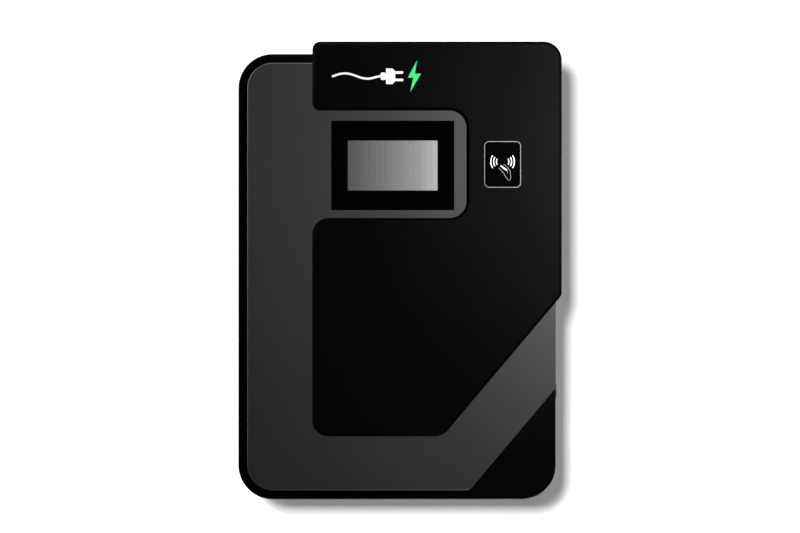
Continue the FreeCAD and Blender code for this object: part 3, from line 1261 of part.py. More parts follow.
def make_locks():
    """Quarter-turn locks in the pan's right side.  Unlocked, the cam points back at the housing."""
    wall = "door_width / 2"
    inner_end = f"{wall} - lock_length"
    barrels, strikes = [], []
    for side, name in ((1, "upper"), (-1, "lower")):
        z = f"{side} * {LOCK_Z}"
        at = lambda x: (x, "lock_depth", z)
        flange = rod(name + "_flange", "lock_flange", "right", at(wall), "1.5")
        shell = rod(name + "_shell", "lock_barrel", "right", at(inner_end), "lock_length")
        bore = rod(name + "_bore", "lock_plug + pin_gap", "right", at(f"{inner_end} - 1"), "lock_length + 4")
        barrels.append(cut(name + "_barrel", fuse(name + "_barrel_blank", flange, shell), bore))
        nut_x = f"{wall} - door_sheet - nut_thick"
        nut = hexagon(name + "_nut_blank", "lock_nut", "right", at(nut_x), "nut_thick")
        nut_bore = rod(name + "_nut_bore", "lock_barrel", "right", at(f"{nut_x} - 1"), "nut_thick + 2")
        barrels.append(cut(name + "_nut", nut, nut_bore))
        plug = rod(name + "_plug", "lock_plug", "right", at(f"{inner_end} - 0.5"), "lock_length + 1.5")
        key = hexagon(name + "_key", "0.62 * lock_plug", "right", at(f"{wall} - 6"), "8")
        node(cut(name + "_plug_shape", plug, key), f"{name}_lock_plug")
        cam_x = (f"{inner_end} - 0.5 - cam_thick", f"{inner_end} - 0.5")
        hub = rod(name + "_hub", "lock_barrel", "right", at(cam_x[0]), "cam_thick")
        arm = box(name + "_arm", cam_x, ("lock_depth - cam_reach", "lock_depth"),
                  (f"{z} - cam_width / 2", f"{z} + cam_width / 2"))
        node(fuse(name + "_cam_shape", hub, arm), f"{name}_lock_cam")
        hook_x = (f"{cam_x[0]} - 2", f"{cam_x[1]} + 2")
        near = "lock_depth + cam_width / 2 + strike_gap"
        leg_z = (f"{z} + cam_reach + 4", f"{z} + cam_reach + 4 + strike_sheet")
        leg = box(name + "_leg", hook_x, ("housing_front", f"{near} + strike_sheet"), leg_z)
        lip = box(name + "_lip", hook_x, ahead_of(near, "strike_sheet"),
                  (f"{z} + lock_barrel + 2", leg_z[1]))
        foot = box(name + "_foot", hook_x, ahead_of("housing_front", "strike_sheet"),
                   (leg_z[0], f"{leg_z[1]} + 18"))
        strikes.append(fuse(name + "_strike", leg, lip, foot))
    group("lock_barrels", *barrels)
    return group("lock_strikes", *strikes)


# ---------------------------------------------------------------- build and write
def build():
    make_rear_housing()
    make_wall_bracket()
    make_hanger_rail()
    make_bracket_screws()
    make_door_seal()
    make_louvre("intake_louvre", -1)
    make_louvre("exhaust_louvre", 1)
    make_intake_filter()
    make_gland_tray()
    make_glands()
    make_chassis()
    make_power_module()
    make_fans()
    make_main_breaker()
    make_din_row()
    make_contactors()
    make_input_terminals()
    make_earth_bar()
    make_ducts()
    make_control_board()
    make_power_leads()
    make_stop_switch()
    make_door_pan()
    make_fascia()
    make_raised_cover()
    make_door_frame()
    make_display()
    make_reader()
    make_fixings()
    make_hinges()
    make_locks()


def write():
    """Checks every object, then writes each sub-part to its own STEP file."""
    doc.recompute()
    failed = [o.Name for o in doc.Objects if {"Invalid", "Error"} & set(o.State)]
    if failed:
        raise ValueError(f"these objects failed: {failed}")
    os.makedirs("parts", exist_ok=True)
    for made in NODES:
        shape = made.Shape
        if shape.isNull() or not shape.isValid() or not shape.Solids:
            raise ValueError(f"{made.Label} has no valid solid")
        shape.exportStep(f"parts/{made.Label}.step")
        print(f"{made.Label}: {len(shape.Solids)} solids, {shape.Volume / 1000:.1f} cm3")
    print(len(NODES), "nodes")


build()
write()
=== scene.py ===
# %% [markdown]
# # A wall-hung charging unit for electric cars
# The unit is a folded steel housing with a hinged door.  The door carries a grey moulded fascia, a
# raised black cover that wraps round the display, and a small pad where a card is read.  Every part
# already has its exact shape, so this lesson gives each one a finish that says what it is made of,
# and adds what drawings leave out: printing, screws, labels and markers.
# Lengths are in metres, +Z is up and the door faces -Y.

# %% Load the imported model
import json
import math
import bmesh
import bpy
import numpy as np
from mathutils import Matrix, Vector

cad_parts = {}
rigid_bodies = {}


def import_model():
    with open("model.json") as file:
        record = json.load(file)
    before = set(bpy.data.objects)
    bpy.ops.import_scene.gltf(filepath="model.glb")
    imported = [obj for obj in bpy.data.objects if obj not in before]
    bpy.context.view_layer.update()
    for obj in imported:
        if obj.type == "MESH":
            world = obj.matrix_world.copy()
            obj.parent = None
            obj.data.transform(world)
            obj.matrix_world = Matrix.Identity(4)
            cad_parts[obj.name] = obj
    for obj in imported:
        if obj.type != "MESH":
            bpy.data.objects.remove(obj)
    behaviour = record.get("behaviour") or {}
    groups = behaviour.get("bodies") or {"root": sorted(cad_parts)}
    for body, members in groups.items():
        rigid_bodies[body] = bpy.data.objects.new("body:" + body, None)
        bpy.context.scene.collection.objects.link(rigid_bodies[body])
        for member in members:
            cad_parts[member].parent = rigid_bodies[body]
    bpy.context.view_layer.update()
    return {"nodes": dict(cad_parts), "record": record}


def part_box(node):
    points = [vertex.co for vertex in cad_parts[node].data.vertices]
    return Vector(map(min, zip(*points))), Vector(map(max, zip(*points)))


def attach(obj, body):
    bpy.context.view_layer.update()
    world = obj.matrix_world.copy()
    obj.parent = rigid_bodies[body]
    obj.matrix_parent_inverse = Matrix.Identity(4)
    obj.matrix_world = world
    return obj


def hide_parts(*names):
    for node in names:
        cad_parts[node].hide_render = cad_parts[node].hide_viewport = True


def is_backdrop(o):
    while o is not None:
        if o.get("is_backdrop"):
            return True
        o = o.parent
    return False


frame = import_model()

nodes = frame["nodes"]

# %% [markdown]
# ## Two small tools for finishes
# A colour card or a screen gives colours as sRGB hex codes, but a shader adds up light, so each
# code is first turned to linear values.  A pattern's scale is the number of its features in one
# metre, so it can be worked out from a size that could be measured with a ruler on the real thing.
# All the finishes are trees of nodes, and one function that adds a node with its settings and its
# links is enough to write any of them in a few lines.

# %% Colour, scale and the function that adds a node
def linear(code):
    """An sRGB hex code as linear red, green, blue and alpha: each channel through the sRGB curve."""
    share = np.array([int(code[i:i + 2], 16) for i in (0, 2, 4)]) / 255
    curved = np.where(share <= 0.04045, share / 12.92, ((share + 0.055) / 1.055) ** 2.4)
    return (*curved.tolist(), 1.0)


def per(mm):
    """The scale of a pattern whose features are this many millimetres apart."""
    return 1000.0 / mm


def add(tree, kind, feed=None, **settings):
    """Adds one node. feed gives its sockets a value or another node's output."""
    node = tree.nodes.new(kind)
    for name, value in settings.items():
        setattr(node, name, value)
    for socket, value in (feed or {}).items():
        if isinstance(value, bpy.types.NodeSocket):
            tree.links.new(value, node.inputs[socket])
        else:
            node.inputs[socket].default_value = value
    return node


def begin(name, colour, roughness, metallic=0.0, **sockets):
    """A material with one main shader, its tree, and the place on the object that patterns read."""
    material = bpy.data.materials.new(name)
    material.use_nodes = True
    tree = material.node_tree
    tree.nodes.clear()
    settings = {"Base Color": linear(colour), "Roughness": roughness, "Metallic": metallic}
    settings.update({key.replace("_", " "): value for key, value in sockets.items()})
    shader = add(tree, "ShaderNodeBsdfPrincipled", settings)
    add(tree, "ShaderNodeOutputMaterial", {"Surface": shader.outputs[0]})
    at = add(tree, "ShaderNodeTexCoord").outputs["Object"]
    return material, tree, shader, at


def texture(tree, shader, at, grain_mm, height_mm, dark, light, rough, patch_mm=60.0):
    """Fine grain as bump, and slow patches that shift the colour and the roughness a little."""
    grain = add(tree, "ShaderNodeTexNoise", {"Vector": at, "Scale": per(grain_mm), "Detail": 2.0})
    bump = add(tree, "ShaderNodeBump", {"Height": grain.outputs[0], "Distance": height_mm / 1000,
                                        "Strength": 1.0})
    tree.links.new(bump.outputs[0], shader.inputs["Normal"])
    patch = add(tree, "ShaderNodeTexNoise", {"Vector": at, "Scale": per(patch_mm), "Detail": 3.0})
    blend = add(tree, "ShaderNodeMix", {"Factor": patch.outputs[0], "A": linear(dark),
                                        "B": linear(light)}, data_type="RGBA")
    tree.links.new(blend.outputs["Result"], shader.inputs["Base Color"])
    sheen = add(tree, "ShaderNodeMapRange", {"Value": patch.outputs[0], "From Min": 0.3, "From Max": 0.7,
                                             "To Min": rough[0], "To Max": rough[1]})
    tree.links.new(sheen.outputs[0], shader.inputs["Roughness"])
    return grain, patch


finishes = {}
print("1.2 mm grain has scale", round(per(1.2)))

# %% [markdown]
# ## Powder-coated steel
# The housing, the door pan, the louvres and the hinge leaves are steel sheet with a baked polyester
# powder coat.  Powder melts into a skin with a fine orange-peel texture, so it looks deep black
# face-on and shows a broken, satin highlight at a slant.  The real ripples are about 0.8 mm apart;
# here they are 2.2 mm, because finer ones wouldn't show at this distance.

# %% Black powder coat
material, tree, shader, at = begin("powder_coat_on_steel", "020202", 0.46, Specular_IOR_Level=0.07)
texture(tree, shader, at, 2.2, 0.05, "000000", "020202", (0.44, 0.52), 140.0)
finishes["black_steel"] = material
print(material.name, len(tree.nodes), "nodes")

# %% [markdown]
# ## The moulded fascia and the raised cover
# Both are injection-moulded.  The fascia is ASA, the plastic of car grilles, with a spark-eroded
# mould texture, so it is an even, quiet dark grey.  The cover is a black ABS with a shallower
# texture that keeps more gloss, and so picks up the soft light beside it as a slow gradient.

# %% Grey ASA and black ABS
material, tree, shader, at = begin("spark_textured_asa", "2f3031", 0.58, Specular_IOR_Level=0.22)
texture(tree, shader, at, 1.8, 0.03, "2e2f30", "313233", (0.56, 0.62), 220.0)
finishes["grey_panel"] = material

material, tree, shader, at = begin("fine_textured_abs", "030303", 0.5, Specular_IOR_Level=0.05)
texture(tree, shader, at, 2.4, 0.012, "020202", "040404", (0.48, 0.52), 260.0)
# Where the surface turns away from the front its specular level falls, so the rounded edge has no
# pale haze and reads as a black line.
split = add(tree, "ShaderNodeSeparateXYZ", {"Vector": add(tree, "ShaderNodeTexCoord").outputs["Normal"]})
haze = add(tree, "ShaderNodeMapRange", {"Value": split.outputs["Y"], "From Min": -0.93, "From Max": -0.995,
                                        "To Min": 0.004, "To Max": 0.05})
tree.links.new(haze.outputs[0], shader.inputs["Specular IOR Level"])
finishes["black_cover"] = material
print("fascia and cover ready")

# %% [markdown]
# ## The display: cover glass, black print and a painted reflection
# Toughened glass covers the whole bay.  Its back is screen-printed black except for the window of
# the seven-inch panel.  Behind the window a sheet glows from mid grey at the left to pale grey at
# the right: a painted reflection of the light at the right in the dark panel, given as a glow though
# the sheet is no lamp.  The glass is a real dielectric with nothing tinted.  The glow comes in faint
# columns 9.9 mm apart.  A panel's own columns are too fine to show.

# %% Glass, ink and the panel
material, tree, shader, at = begin("toughened_glass", "ffffff", 0.02, Transmission_Weight=1.0,
                                   IOR=1.5, Specular_IOR_Level=0.25)
finishes["cover_glass"] = material

material, tree, shader, at = begin("screen_printed_ink", "000000", 0.6, Specular_IOR_Level=0.0)
texture(tree, shader, at, 3.0, 0.002, "000000", "010101", (0.58, 0.64), 90.0)
ink = material

screen_low, screen_high = (-0.0860, 0.15085), (0.0710, 0.23815)  # (x, z) of the lit area's corners
# Painted reflection: the sheet glows from mid grey at the left to pale grey at the right, standing in for
# the light at the right seen in a dark screen; the sheet is no lamp.
material, tree, shader, at = begin("lit_panel", "000000", 0.35)
apart = add(tree, "ShaderNodeSeparateXYZ", {"Vector": at})
along = add(tree, "ShaderNodeMapRange", {"Value": apart.outputs["X"], "From Min": screen_low[0],
                                         "From Max": screen_high[0]})
ramp = add(tree, "ShaderNodeValToRGB", {"Fac": along.outputs[0]})
ramp.color_ramp.elements[0].color = linear("515151")
ramp.color_ramp.elements[1].color = linear("bfc0c0")
for share, code in ((0.133, "5d5d5e"), (0.356, "727273"), (0.578, "888889"), (0.8, "9e9e9f")):
    ramp.color_ramp.elements.new(share).color = linear(code)
columns = add(tree, "ShaderNodeTexWave", {"Vector": at, "Scale": per(5.0) / 6.283, "Distortion": 0.0},
              wave_type="BANDS", bands_direction="X")
glow = add(tree, "ShaderNodeMapRange", {"Value": columns.outputs[1], "To Min": 0.89, "To Max": 0.94})
tree.links.new(ramp.outputs[0], shader.inputs["Emission Color"])
tree.links.new(glow.outputs[0], shader.inputs["Emission Strength"])
painted_reflection = material

material, tree, shader, at = begin("black_panel_bezel", "050505", 0.4)
texture(tree, shader, at, 2.0, 0.01, "040404", "070707", (0.38, 0.46), 40.0)
finishes["lcd"] = material

material, tree, shader, at = begin("smoked_acrylic", "010101", 0.3, IOR=1.49, Specular_IOR_Level=0.03)
texture(tree, shader, at, 6.0, 0.004, "010101", "020202", (0.28, 0.34), 50.0)
finishes["smoked_window"] = material
print("screen is", round((screen_high[0] - screen_low[0]) * 1000, 1), "mm wide")

# %% [markdown]
# ## Metals inside
# Zinc laid on hot freezes in flat crystals, each a slightly different grey, so a cell pattern drives
# its tone and its roughness.  Ground steel, mill-finish aluminium and turned brass all carry lines from
# the tool, so their noise is squeezed across the direction in which the tool moved.

# %% Zinc plate, ground steel, aluminium, brass
material, tree, shader, at = begin("zinc_plated_steel", "a8abaf", 0.38, 1.0)
cells = add(tree, "ShaderNodeTexVoronoi", {"Vector": at, "Scale": per(14.0)})
tone = add(tree, "ShaderNodeMix", {"Factor": cells.outputs["Color"], "A": linear("8f9398"),
                                   "B": linear("b9bcc0")}, data_type="RGBA")
tree.links.new(tone.outputs["Result"], shader.inputs["Base Color"])
flat = add(tree, "ShaderNodeMapRange", {"Value": cells.outputs["Color"], "To Min": 0.30, "To Max": 0.46})
tree.links.new(flat.outputs[0], shader.inputs["Roughness"])
finishes["zinc_steel"] = material

for slot, name, dark, light, squeeze, rough in (
        ("steel", "ground_steel", "a9abad", "c6c8ca", (40, 1, 1), (0.22, 0.32)),
        ("aluminium", "mill_finish_aluminium", "b3b5b8", "cdd0d3", (1, 1, 40), (0.30, 0.42)),
        ("brass", "turned_brass", "b08d48", "cda85c", (1, 12, 40), (0.24, 0.36))):
    material, tree, shader, at = begin(name, light, rough[0], 1.0)
    lines = add(tree, "ShaderNodeMapping", {"Vector": at, "Scale": squeeze})
    texture(tree, shader, lines.outputs[0], 40.0, 0.01, dark, light, rough, 80.0)
    finishes[slot] = material
print("metals:", [finishes[s].name for s in ("zinc_steel", "steel", "aluminium", "brass")])

# %% [markdown]
# ## Plastics, rubber and the filter inside
# Glass-filled nylon (the glands, the fans) is matte with flow marks.  Thermoset (the breaker, the
# contactors) is speckled, and light grey polycarbonate (rail devices, ducts) is smooth with a soft
# sheen.  Foam and fleece are rough all over, with pores and fibres instead of a surface.

# %% Mouldings, foam, fleece and enamel
for slot, name, dark, light, grain, height, rough, patch in (
        ("black_plastic", "glass_filled_nylon", "0c0c0d", "151516", 2.0, 0.03, (0.50, 0.62), 25.0),
        ("dark_grey_plastic", "speckled_thermoset", "2a2c2e", "3a3c3f", 2.4, 0.03, (0.46, 0.56), 6.0),
        ("light_grey_plastic", "moulded_polycarbonate", "a9aba9", "b8bab7", 3.0, 0.01, (0.36, 0.44), 70.0),
        ("lead_rubber", "pvc_insulation", "0d0d0e", "161617", 4.0, 0.02, (0.38, 0.48), 30.0),
        ("foam", "closed_cell_foam", "0b0b0c", "1a1a1b", 2.0, 0.30, (0.85, 0.95), 8.0),
        ("filter_mat", "bonded_fleece", "9da19d", "c4c7c2", 2.6, 0.60, (0.90, 0.98), 9.0),
        ("yellow", "yellow_enamel", "c79a06", "d8aa0c", 5.0, 0.01, (0.22, 0.30), 60.0),
        ("red", "red_moulding", "a10c0c", "b51212", 3.0, 0.01, (0.26, 0.34), 40.0)):
    material, tree, shader, at = begin(name, light, rough[0])
    texture(tree, shader, at, grain, height, dark, light, rough, patch)
    finishes[slot] = material
print(len(finishes), "finishes so far")

# %% [markdown]
# ## The circuit board
# Solder mask is a glossy green lacquer over copper tracks, which show as slightly paler lines.  The
# tracks run square to each other, so a cell pattern measured along the axes draws them.  Chips and
# relays stand on the same solid, so the finish changes with depth: above the board's face it is the
# black and grey of their mouldings.

# %% Solder mask with tracks, and chips in front of it
tallest_chip = -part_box("control_board")[0][1]
pins_and_board = 5.6  # mm from the back of the pins to the lacquered face
board_skin = -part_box("control_board")[1][1] + pins_and_board / 1000
material, tree, shader, at = begin("solder_mask_on_copper", "0f4a28", 0.3, Coat_Weight=0.3)
tracks = add(tree, "ShaderNodeTexVoronoi", {"Vector": at, "Scale": per(7.0), "Randomness": 0.75},
             distance="CHEBYCHEV", feature="F1")
edge = add(tree, "ShaderNodeMath", {0: tracks.outputs["Distance"], 1: 0.36}, operation="GREATER_THAN")
mask = add(tree, "ShaderNodeMix", {"Factor": edge.outputs[0], "A": linear("0d4424"),
                                   "B": linear("1c6b3b")}, data_type="RGBA")
deep = add(tree, "ShaderNodeSeparateXYZ", {"Vector": at})
chip = add(tree, "ShaderNodeMath", {0: deep.outputs["Y"], 1: -(board_skin + 0.0004)},
           operation="LESS_THAN")
kinds = add(tree, "ShaderNodeTexVoronoi", {"Vector": at, "Scale": per(34.0)})
body = add(tree, "ShaderNodeMix", {"Factor": kinds.outputs["Distance"], "A": linear("141416"),
                                   "B": linear("3a3c40")}, data_type="RGBA")
both = add(tree, "ShaderNodeMix", {"Factor": chip.outputs[0], "A": mask.outputs["Result"],
                                   "B": body.outputs["Result"]}, data_type="RGBA")
tree.links.new(both.outputs["Result"], shader.inputs["Base Color"])
finishes["green_board"] = material
print("board face at", round(board_skin, 4), "and tallest chip at", round(tallest_chip, 4))

# %% [markdown]
# ## Every part gets its finish
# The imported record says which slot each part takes, and each slot has one finish.  The locks differ:
# their cast bodies and plugs are coated black, as such locks mostly are, so that no bright dot shows
# at the door's edge.  Only the material slots of the parts are written to.  Their shapes stay as they
# were made.

# %% Assign the finishes
material, tree, shader, at = begin("black_coated_zinc_casting", "0c0c0c", 0.5, Specular_IOR_Level=0.12)
texture(tree, shader, at, 1.6, 0.01, "090909", "101010", (0.46, 0.54), 40.0)
finishes["black_lock"] = material
slot_of = {part["node"]: part["material_slot"] for part in frame["record"]["subparts"]}
slot_of.update({name: "black_lock" for name in ("lock_barrels", "upper_lock_plug", "lower_lock_plug")})
for name, obj in nodes.items():
    for holder in obj.material_slots:
        key = slot_of.get(name, holder.material.name.split(".")[0])
        holder.material = finishes[key]
print(sum(len(o.material_slots) for o in nodes.values()), "slots painted")

# %% [markdown]
# ## Shapes worked out as arrays
# The extra pieces are thin prints, plates and screw heads.  Each is worked out by a short function
# that gives its points and faces, with (x, depth, z) in millimetres, where depth is the distance in
# front of the wall.  One function then turns such a shape into an object, with its faces outwards
# and its place in the mesh, and ties it to the body that carries it.

# %% From arrays to a piece
def piece(name, shapes, finish, body, smooth=False):
    """One object from several (points, faces) shapes: points become (x, -depth, z) in metres."""
    points, faces, count = [], [], 0
    for shape_points, shape_faces in shapes:
        points.append(shape_points)
        faces += [[count + int(i) for i in face] for face in shape_faces]
        count += len(shape_points)
    points = np.concatenate(points) * np.array([0.001, -0.001, 0.001])
    mesh = bpy.data.meshes.new(name)
    mesh.from_pydata(points.tolist(), [], faces)
    work = bmesh.new()
    work.from_mesh(mesh)
    bmesh.ops.recalc_face_normals(work, faces=work.faces)
    work.to_mesh(mesh)
    work.free()
    mesh.polygons.foreach_set("use_smooth", [smooth] * len(mesh.polygons))
    mesh.materials.append(finish)
    obj = bpy.data.objects.new(name, mesh)
    bpy.context.scene.collection.objects.link(obj)
    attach(obj, body)
    print(name, len(mesh.polygons), "faces")
    return obj


def quads(rows, columns, wrap_rows=False, wrap_columns=True):
    """The four corners of every cell of a grid, which may close on itself either way."""
    r = np.arange(rows if wrap_rows else rows - 1)[:, None]
    c = np.arange(columns if wrap_columns else columns - 1)[None, :]
    below, right = (r + 1) % rows, (c + 1) % columns
    corners = [r * columns + c, r * columns + right, below * columns + right, below * columns + c]
    return np.stack(np.broadcast_arrays(*corners), -1).reshape(-1, 4).tolist()


def rounded(x, z, width, height, radius, steps=12):
    """A rectangle's outline: in each corner, its centre plus radius times (cos, sin) of a quarter turn."""
    turn = np.linspace(0, np.pi / 2, steps)[None, :] + np.arange(4)[:, None] * np.pi / 2
    sx = np.array([1, -1, -1, 1])[:, None] * (width / 2 - radius)
    sz = np.array([1, 1, -1, -1])[:, None] * (height / 2 - radius)
    return np.stack([x + sx + radius * np.cos(turn), z + sz + radius * np.sin(turn)], -1).reshape(-1, 2)


def band(outer, inner, near, far):
    """A flat ring: a rectangular section carried round between two outlines of equal length."""
    rows = [(outer, near), (inner, near), (inner, far), (outer, far)]
    points = np.stack([np.column_stack([line[:, 0], np.full(len(line), depth), line[:, 1]])
                       for line, depth in rows])
    return points.reshape(-1, 3), quads(4, len(outer), wrap_rows=True)


def plate(outline, near, far):
    """A flat sheet: the outline at two depths, closed by a face at each end."""
    n = len(outline)
    points = np.concatenate([np.column_stack([outline[:, 0], np.full(n, depth), outline[:, 1]])
                             for depth in (near, far)])
    return points, [list(range(n)), list(range(2 * n - 1, n - 1, -1))] + quads(2, n)


def stroke(path, width, near, far, cap=7):
    """A line with round ends: the path moved half a width to each side, joined by half circles."""
    path = np.asarray(path, float)
    run = np.gradient(path, axis=0)
    run /= np.linalg.norm(run, axis=1)[:, None]
    side = np.column_stack([-run[:, 1], run[:, 0]]) * width / 2
    turn = np.linspace(0, np.pi, cap + 2)[1:-1, None]
    last = path[-1] + side[-1] * np.cos(turn) + run[-1] * width / 2 * np.sin(turn)
    first = path[0] - side[0] * np.cos(turn) - run[0] * width / 2 * np.sin(turn)
    return plate(np.concatenate([path + side, last, (path - side)[::-1], first]), near, far)


def arc(x, z, radius, start, end, steps=24):
    """Points on a circle: the centre plus radius times (cos, sin) from start to end in degrees."""
    turn = np.radians(np.linspace(start, end, steps))
    return np.column_stack([x + radius * np.cos(turn), z + radius * np.sin(turn)])


print("a 65 x 82 outline has", len(rounded(0, 0, 65, 82, 9)), "points")

# %% [markdown]
# ## Printing on the display and the card pad
# The black border is ink on the back of the glass, with a window for the panel, so both sheets lie
# just inside the glass.  The card pad is a smoked sheet with a thin grey line near its edge and a
# pictogram: waves on both sides of a hand that holds a card.

# %% The display's border and painted reflection
def ends(node):
    """(lowest x, highest x, lowest depth, highest depth, lowest z, highest z) of a part, in mm."""
    low, high = (np.array(corner) * 1000 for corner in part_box(node))
    return low[0], high[0], -high[1], -low[1], low[2], high[2]


x0, x1, d0, d1, z0, z1 = ends("display_glass")
middle = ((x0 + x1) / 2, (z0 + z1) / 2)
wide, tall = (screen_high[0] - screen_low[0]) * 1000, (screen_high[1] - screen_low[1]) * 1000
window = rounded(*middle, wide, tall, 0.4)
outline = rounded(*middle, x1 - x0 - 0.6, z1 - z0 - 0.6, 0.6)
piece("display_print", [band(outline, window, d0 + 0.10, d0 + 0.16)], ink, "door")
# The sheet behind the window carries the painted reflection, given as a glow.
piece("display_picture", [plate(rounded(*middle, wide + 3, tall + 3, 0.4), d0 + 0.03, d0 + 0.07)],
      painted_reflection, "door")

# %% The card pad's line and pictogram
material, tree, shader, at = begin("grey_screen_ink", "6f7072", 0.5, Specular_IOR_Level=0.3)
texture(tree, shader, at, 2.0, 0.002, "66676a", "76777a", (0.46, 0.54), 12.0)
grey_ink = material
material, tree, shader, at = begin("white_screen_ink", "e6e7e8", 0.45)
texture(tree, shader, at, 2.0, 0.002, "dddedf", "efeff0", (0.42, 0.5), 12.0)
white_ink = material
material, tree, shader, at = begin("green_screen_ink", "35b56a", 0.45)
texture(tree, shader, at, 2.0, 0.002, "2fac62", "3bbd72", (0.42, 0.5), 12.0)
green_ink = material


def loft(rows):
    """A closed body through outlines of equal length, each at its own depth, with flat ends."""
    n = len(rows[0][0])
    points = np.concatenate([np.column_stack([line[:, 0], np.full(n, depth), line[:, 1]])
                             for line, depth in rows])
    last = (len(rows) - 1) * n
    return points, [list(range(n)), list(range(last, last + n))] + quads(len(rows), n)


x0, x1, d0, d1, z0, z1 = ends("reader_window")
x, z, face = (x0 + x1) / 2, (z0 + z1) / 2, d1 - 0.10
pad_rows = [(rounded(x, z, x1 - x0 - 2 * cut, z1 - z0 - 2 * cut, 9 - cut), depth) for cut, depth in
            ((0, d0), (0, face - 0.35), (0.10, face - 0.12), (0.32, face))]
pad = piece("card_pad", [loft(pad_rows)], finishes["smoked_window"], "door")
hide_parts("reader_window")
near, far = face - 0.02, face + 0.04
line = band(rounded(x, z, x1 - x0 - 1.0, z1 - z0 - 1.0, 8.5),
            rounded(x, z, x1 - x0 - 3.2, z1 - z0 - 3.2, 7.4), near, far)
waves = [stroke(arc(x, z + 4.7, radius, middle_turn - half, middle_turn + half), 1.5, near, far)
         for radius, half in ((10.8, 24), (15.6, 28), (20.6, 30)) for middle_turn in (0, 180)]
card = np.array([(-2.6, -7.6), (6.6, -14.4)]) + (x, z + 4.7)
hand = np.array([(-6.4, -11.5), (-2.0, -15.4), (1.6, -20.0), (5.4, -26.0), (9.4, -31.6), (13.0, -32.4),
                 (14.4, -28.4), (13.8, -22.0), (13.6, -17.6), (11.2, -13.2), (7.4, -8.6), (1.6, -4.6)])
thumb = np.array([(6.8, -14.6), (8.6, -17.0), (8.4, -20.4)]) + (x, z + 4.7)
piece("card_pad_line", [line], grey_ink, "door")
piece("card_pad_waves", waves + [stroke(card, 2.2, near, far)], white_ink, "door")
piece("card_pad_hand", [stroke(hand + (x, z + 4.7), 0.9, near, far), stroke(thumb, 0.9, near, far)],
      grey_ink, "door")

# %% [markdown]
# ## The mark on the cover
# The cover carries a small printed mark near its top left.  This one is a plain pictogram that any
# maker could use: a lead that ends in a plug, and a green bolt.  The lead is a line with round ends
# along a slow wave, height = centre + 5 sin(x), which fades out at the plug, and the bolt is a flat
# outline of six corners.

# %% Lead, plug and bolt
front = ends("raised_cover")[3]
near, far = front - 0.02, front + 0.05
run = np.linspace(0, 1, 60)
lead = np.column_stack([-112 + 84 * run, 350 + 5 * np.sin(2 * np.pi * run) * (1 - run ** 6)])
plug = [stroke(lead, 3.6, near, far),
        plate(rounded(-24, 350, 9, 13, 2.5), near, far),
        plate(np.array([(-19, 336.5), (-8, 336.5), (-3, 341), (-3, 359), (-8, 363.5), (-19, 363.5)]),
              near, far),
        stroke([(-1, 356.5), (9, 356.5)], 4.2, near, far), stroke([(-1, 343.5), (9, 343.5)], 4.2, near, far)]
bolt = np.array([(35, 378), (19, 347.5), (28.5, 347.5), (23, 322), (42, 354.5), (31.5, 354.5)])
piece("mark_plug", plug, white_ink, "door")
piece("mark_bolt", [plate(bolt, near, far)], green_ink, "door")

# %% [markdown]
# ## Screw heads
# Sheet parts are held by pan-head screws with a cross recess.  A head is a dome of revolution: its
# height over the sheet is the square root of 1 - r cubed, which is flat on top and steep at the rim,
# and it is lowered by half where a point lies inside either arm of the cross.  Each head could be
# cut from a sphere, but that costs a boolean per screw.  One small grid is worked out here instead,
# then placed many times by adding every place to its points.

# %% One head, many places
AXES = {"front": ((1, 0, 0), (0, 0, 1), (0, 1, 0)), "inside": ((1, 0, 0), (0, 0, 1), (0, -1, 0)),
        "right": ((0, 1, 0), (0, 0, 1), (1, 0, 0)), "left": ((0, 1, 0), (0, 0, 1), (-1, 0, 0))}


def screws(places, radius, height, facing, columns=20):
    """Pan heads at (x, depth, z) places: height times the root of 1 - r cubed, less half in the cross."""
    ring = np.array([1.0, 0.97, 0.9, 0.76, 0.6, 0.44, 0.3, 0.16])[:, None]
    rise = np.sqrt(1 - ring ** 3)
    turn = np.linspace(0, 2 * np.pi, columns, endpoint=False)[None, :]
    a, b = ring * np.cos(turn), ring * np.sin(turn)
    in_cross = (np.minimum(abs(a), abs(b)) < 0.17) & (np.maximum(abs(a), abs(b)) < 0.6)
    lift = np.broadcast_to(rise, a.shape) - 0.5 * in_cross
    one, two, out = (np.array(axis, float) for axis in AXES[facing])
    head = (a[..., None] * one + b[..., None] * two) * radius + lift[..., None] * height * out
    head = head.reshape(-1, 3)
    last = (len(ring) - 1) * columns
    faces = quads(len(ring), columns) + [list(range(columns)), list(range(last, last + columns))]
    return [(head + np.array(place, float), faces) for place in places]


low, high = ends("exhaust_louvre"), ends("intake_louvre")
corners = [(depth, z) for depth in (low[2] + 5, low[3] - 5) for z in (low[4] + 5, low[5] - 5)]
piece("louvre_screws_right", screws([(low[1] - 1.2, d, z) for d, z in corners], 3.0, 1.8, "right"),
      finishes["black_steel"], "housing", True)
piece("louvre_screws_left", screws([(high[0] + 1.2, d, z) for d, z in corners], 3.0, 1.8, "left"),
      finishes["black_steel"], "housing", True)

# %% Screws on the power module, the fans and the board
x0, x1, d0, d1, z0, z1 = ends("power_module")
lug_height = 14
case_low = z0 + lug_height
case_places = [(x, d1, z) for x in np.linspace(x0 + 8, x1 - 8, 7) for z in (case_low + 7, z1 - 7)]
piece("module_screws", screws(case_places, 3.2, 2.2, "front"), finishes["zinc_steel"], "housing",
      True)
fx1, fd0, fd1, fz0 = ends("fan_frames")[1:5]
fan_places = [(fx1, depth, z) for z in fz0 + 4.5 + np.array([0, 71, 96, 167, 192, 263])
              for depth in (fd0 + 4.5, fd1 - 4.5)]
piece("fan_screws", screws(fan_places, 2.6, 1.6, "right"), finishes["steel"], "housing", True)
bx0, bx1, bd0, _, bz0, bz1 = ends("control_board")
board = bd0 + pins_and_board
board_places = [(x, board, z) for x in (bx0 + 13, bx1 - 13) for z in (bz0 + 12, bz1 - 12)]
piece("board_screws", screws(board_places, 2.6, 1.6, "front"), finishes["steel"], "housing", True)

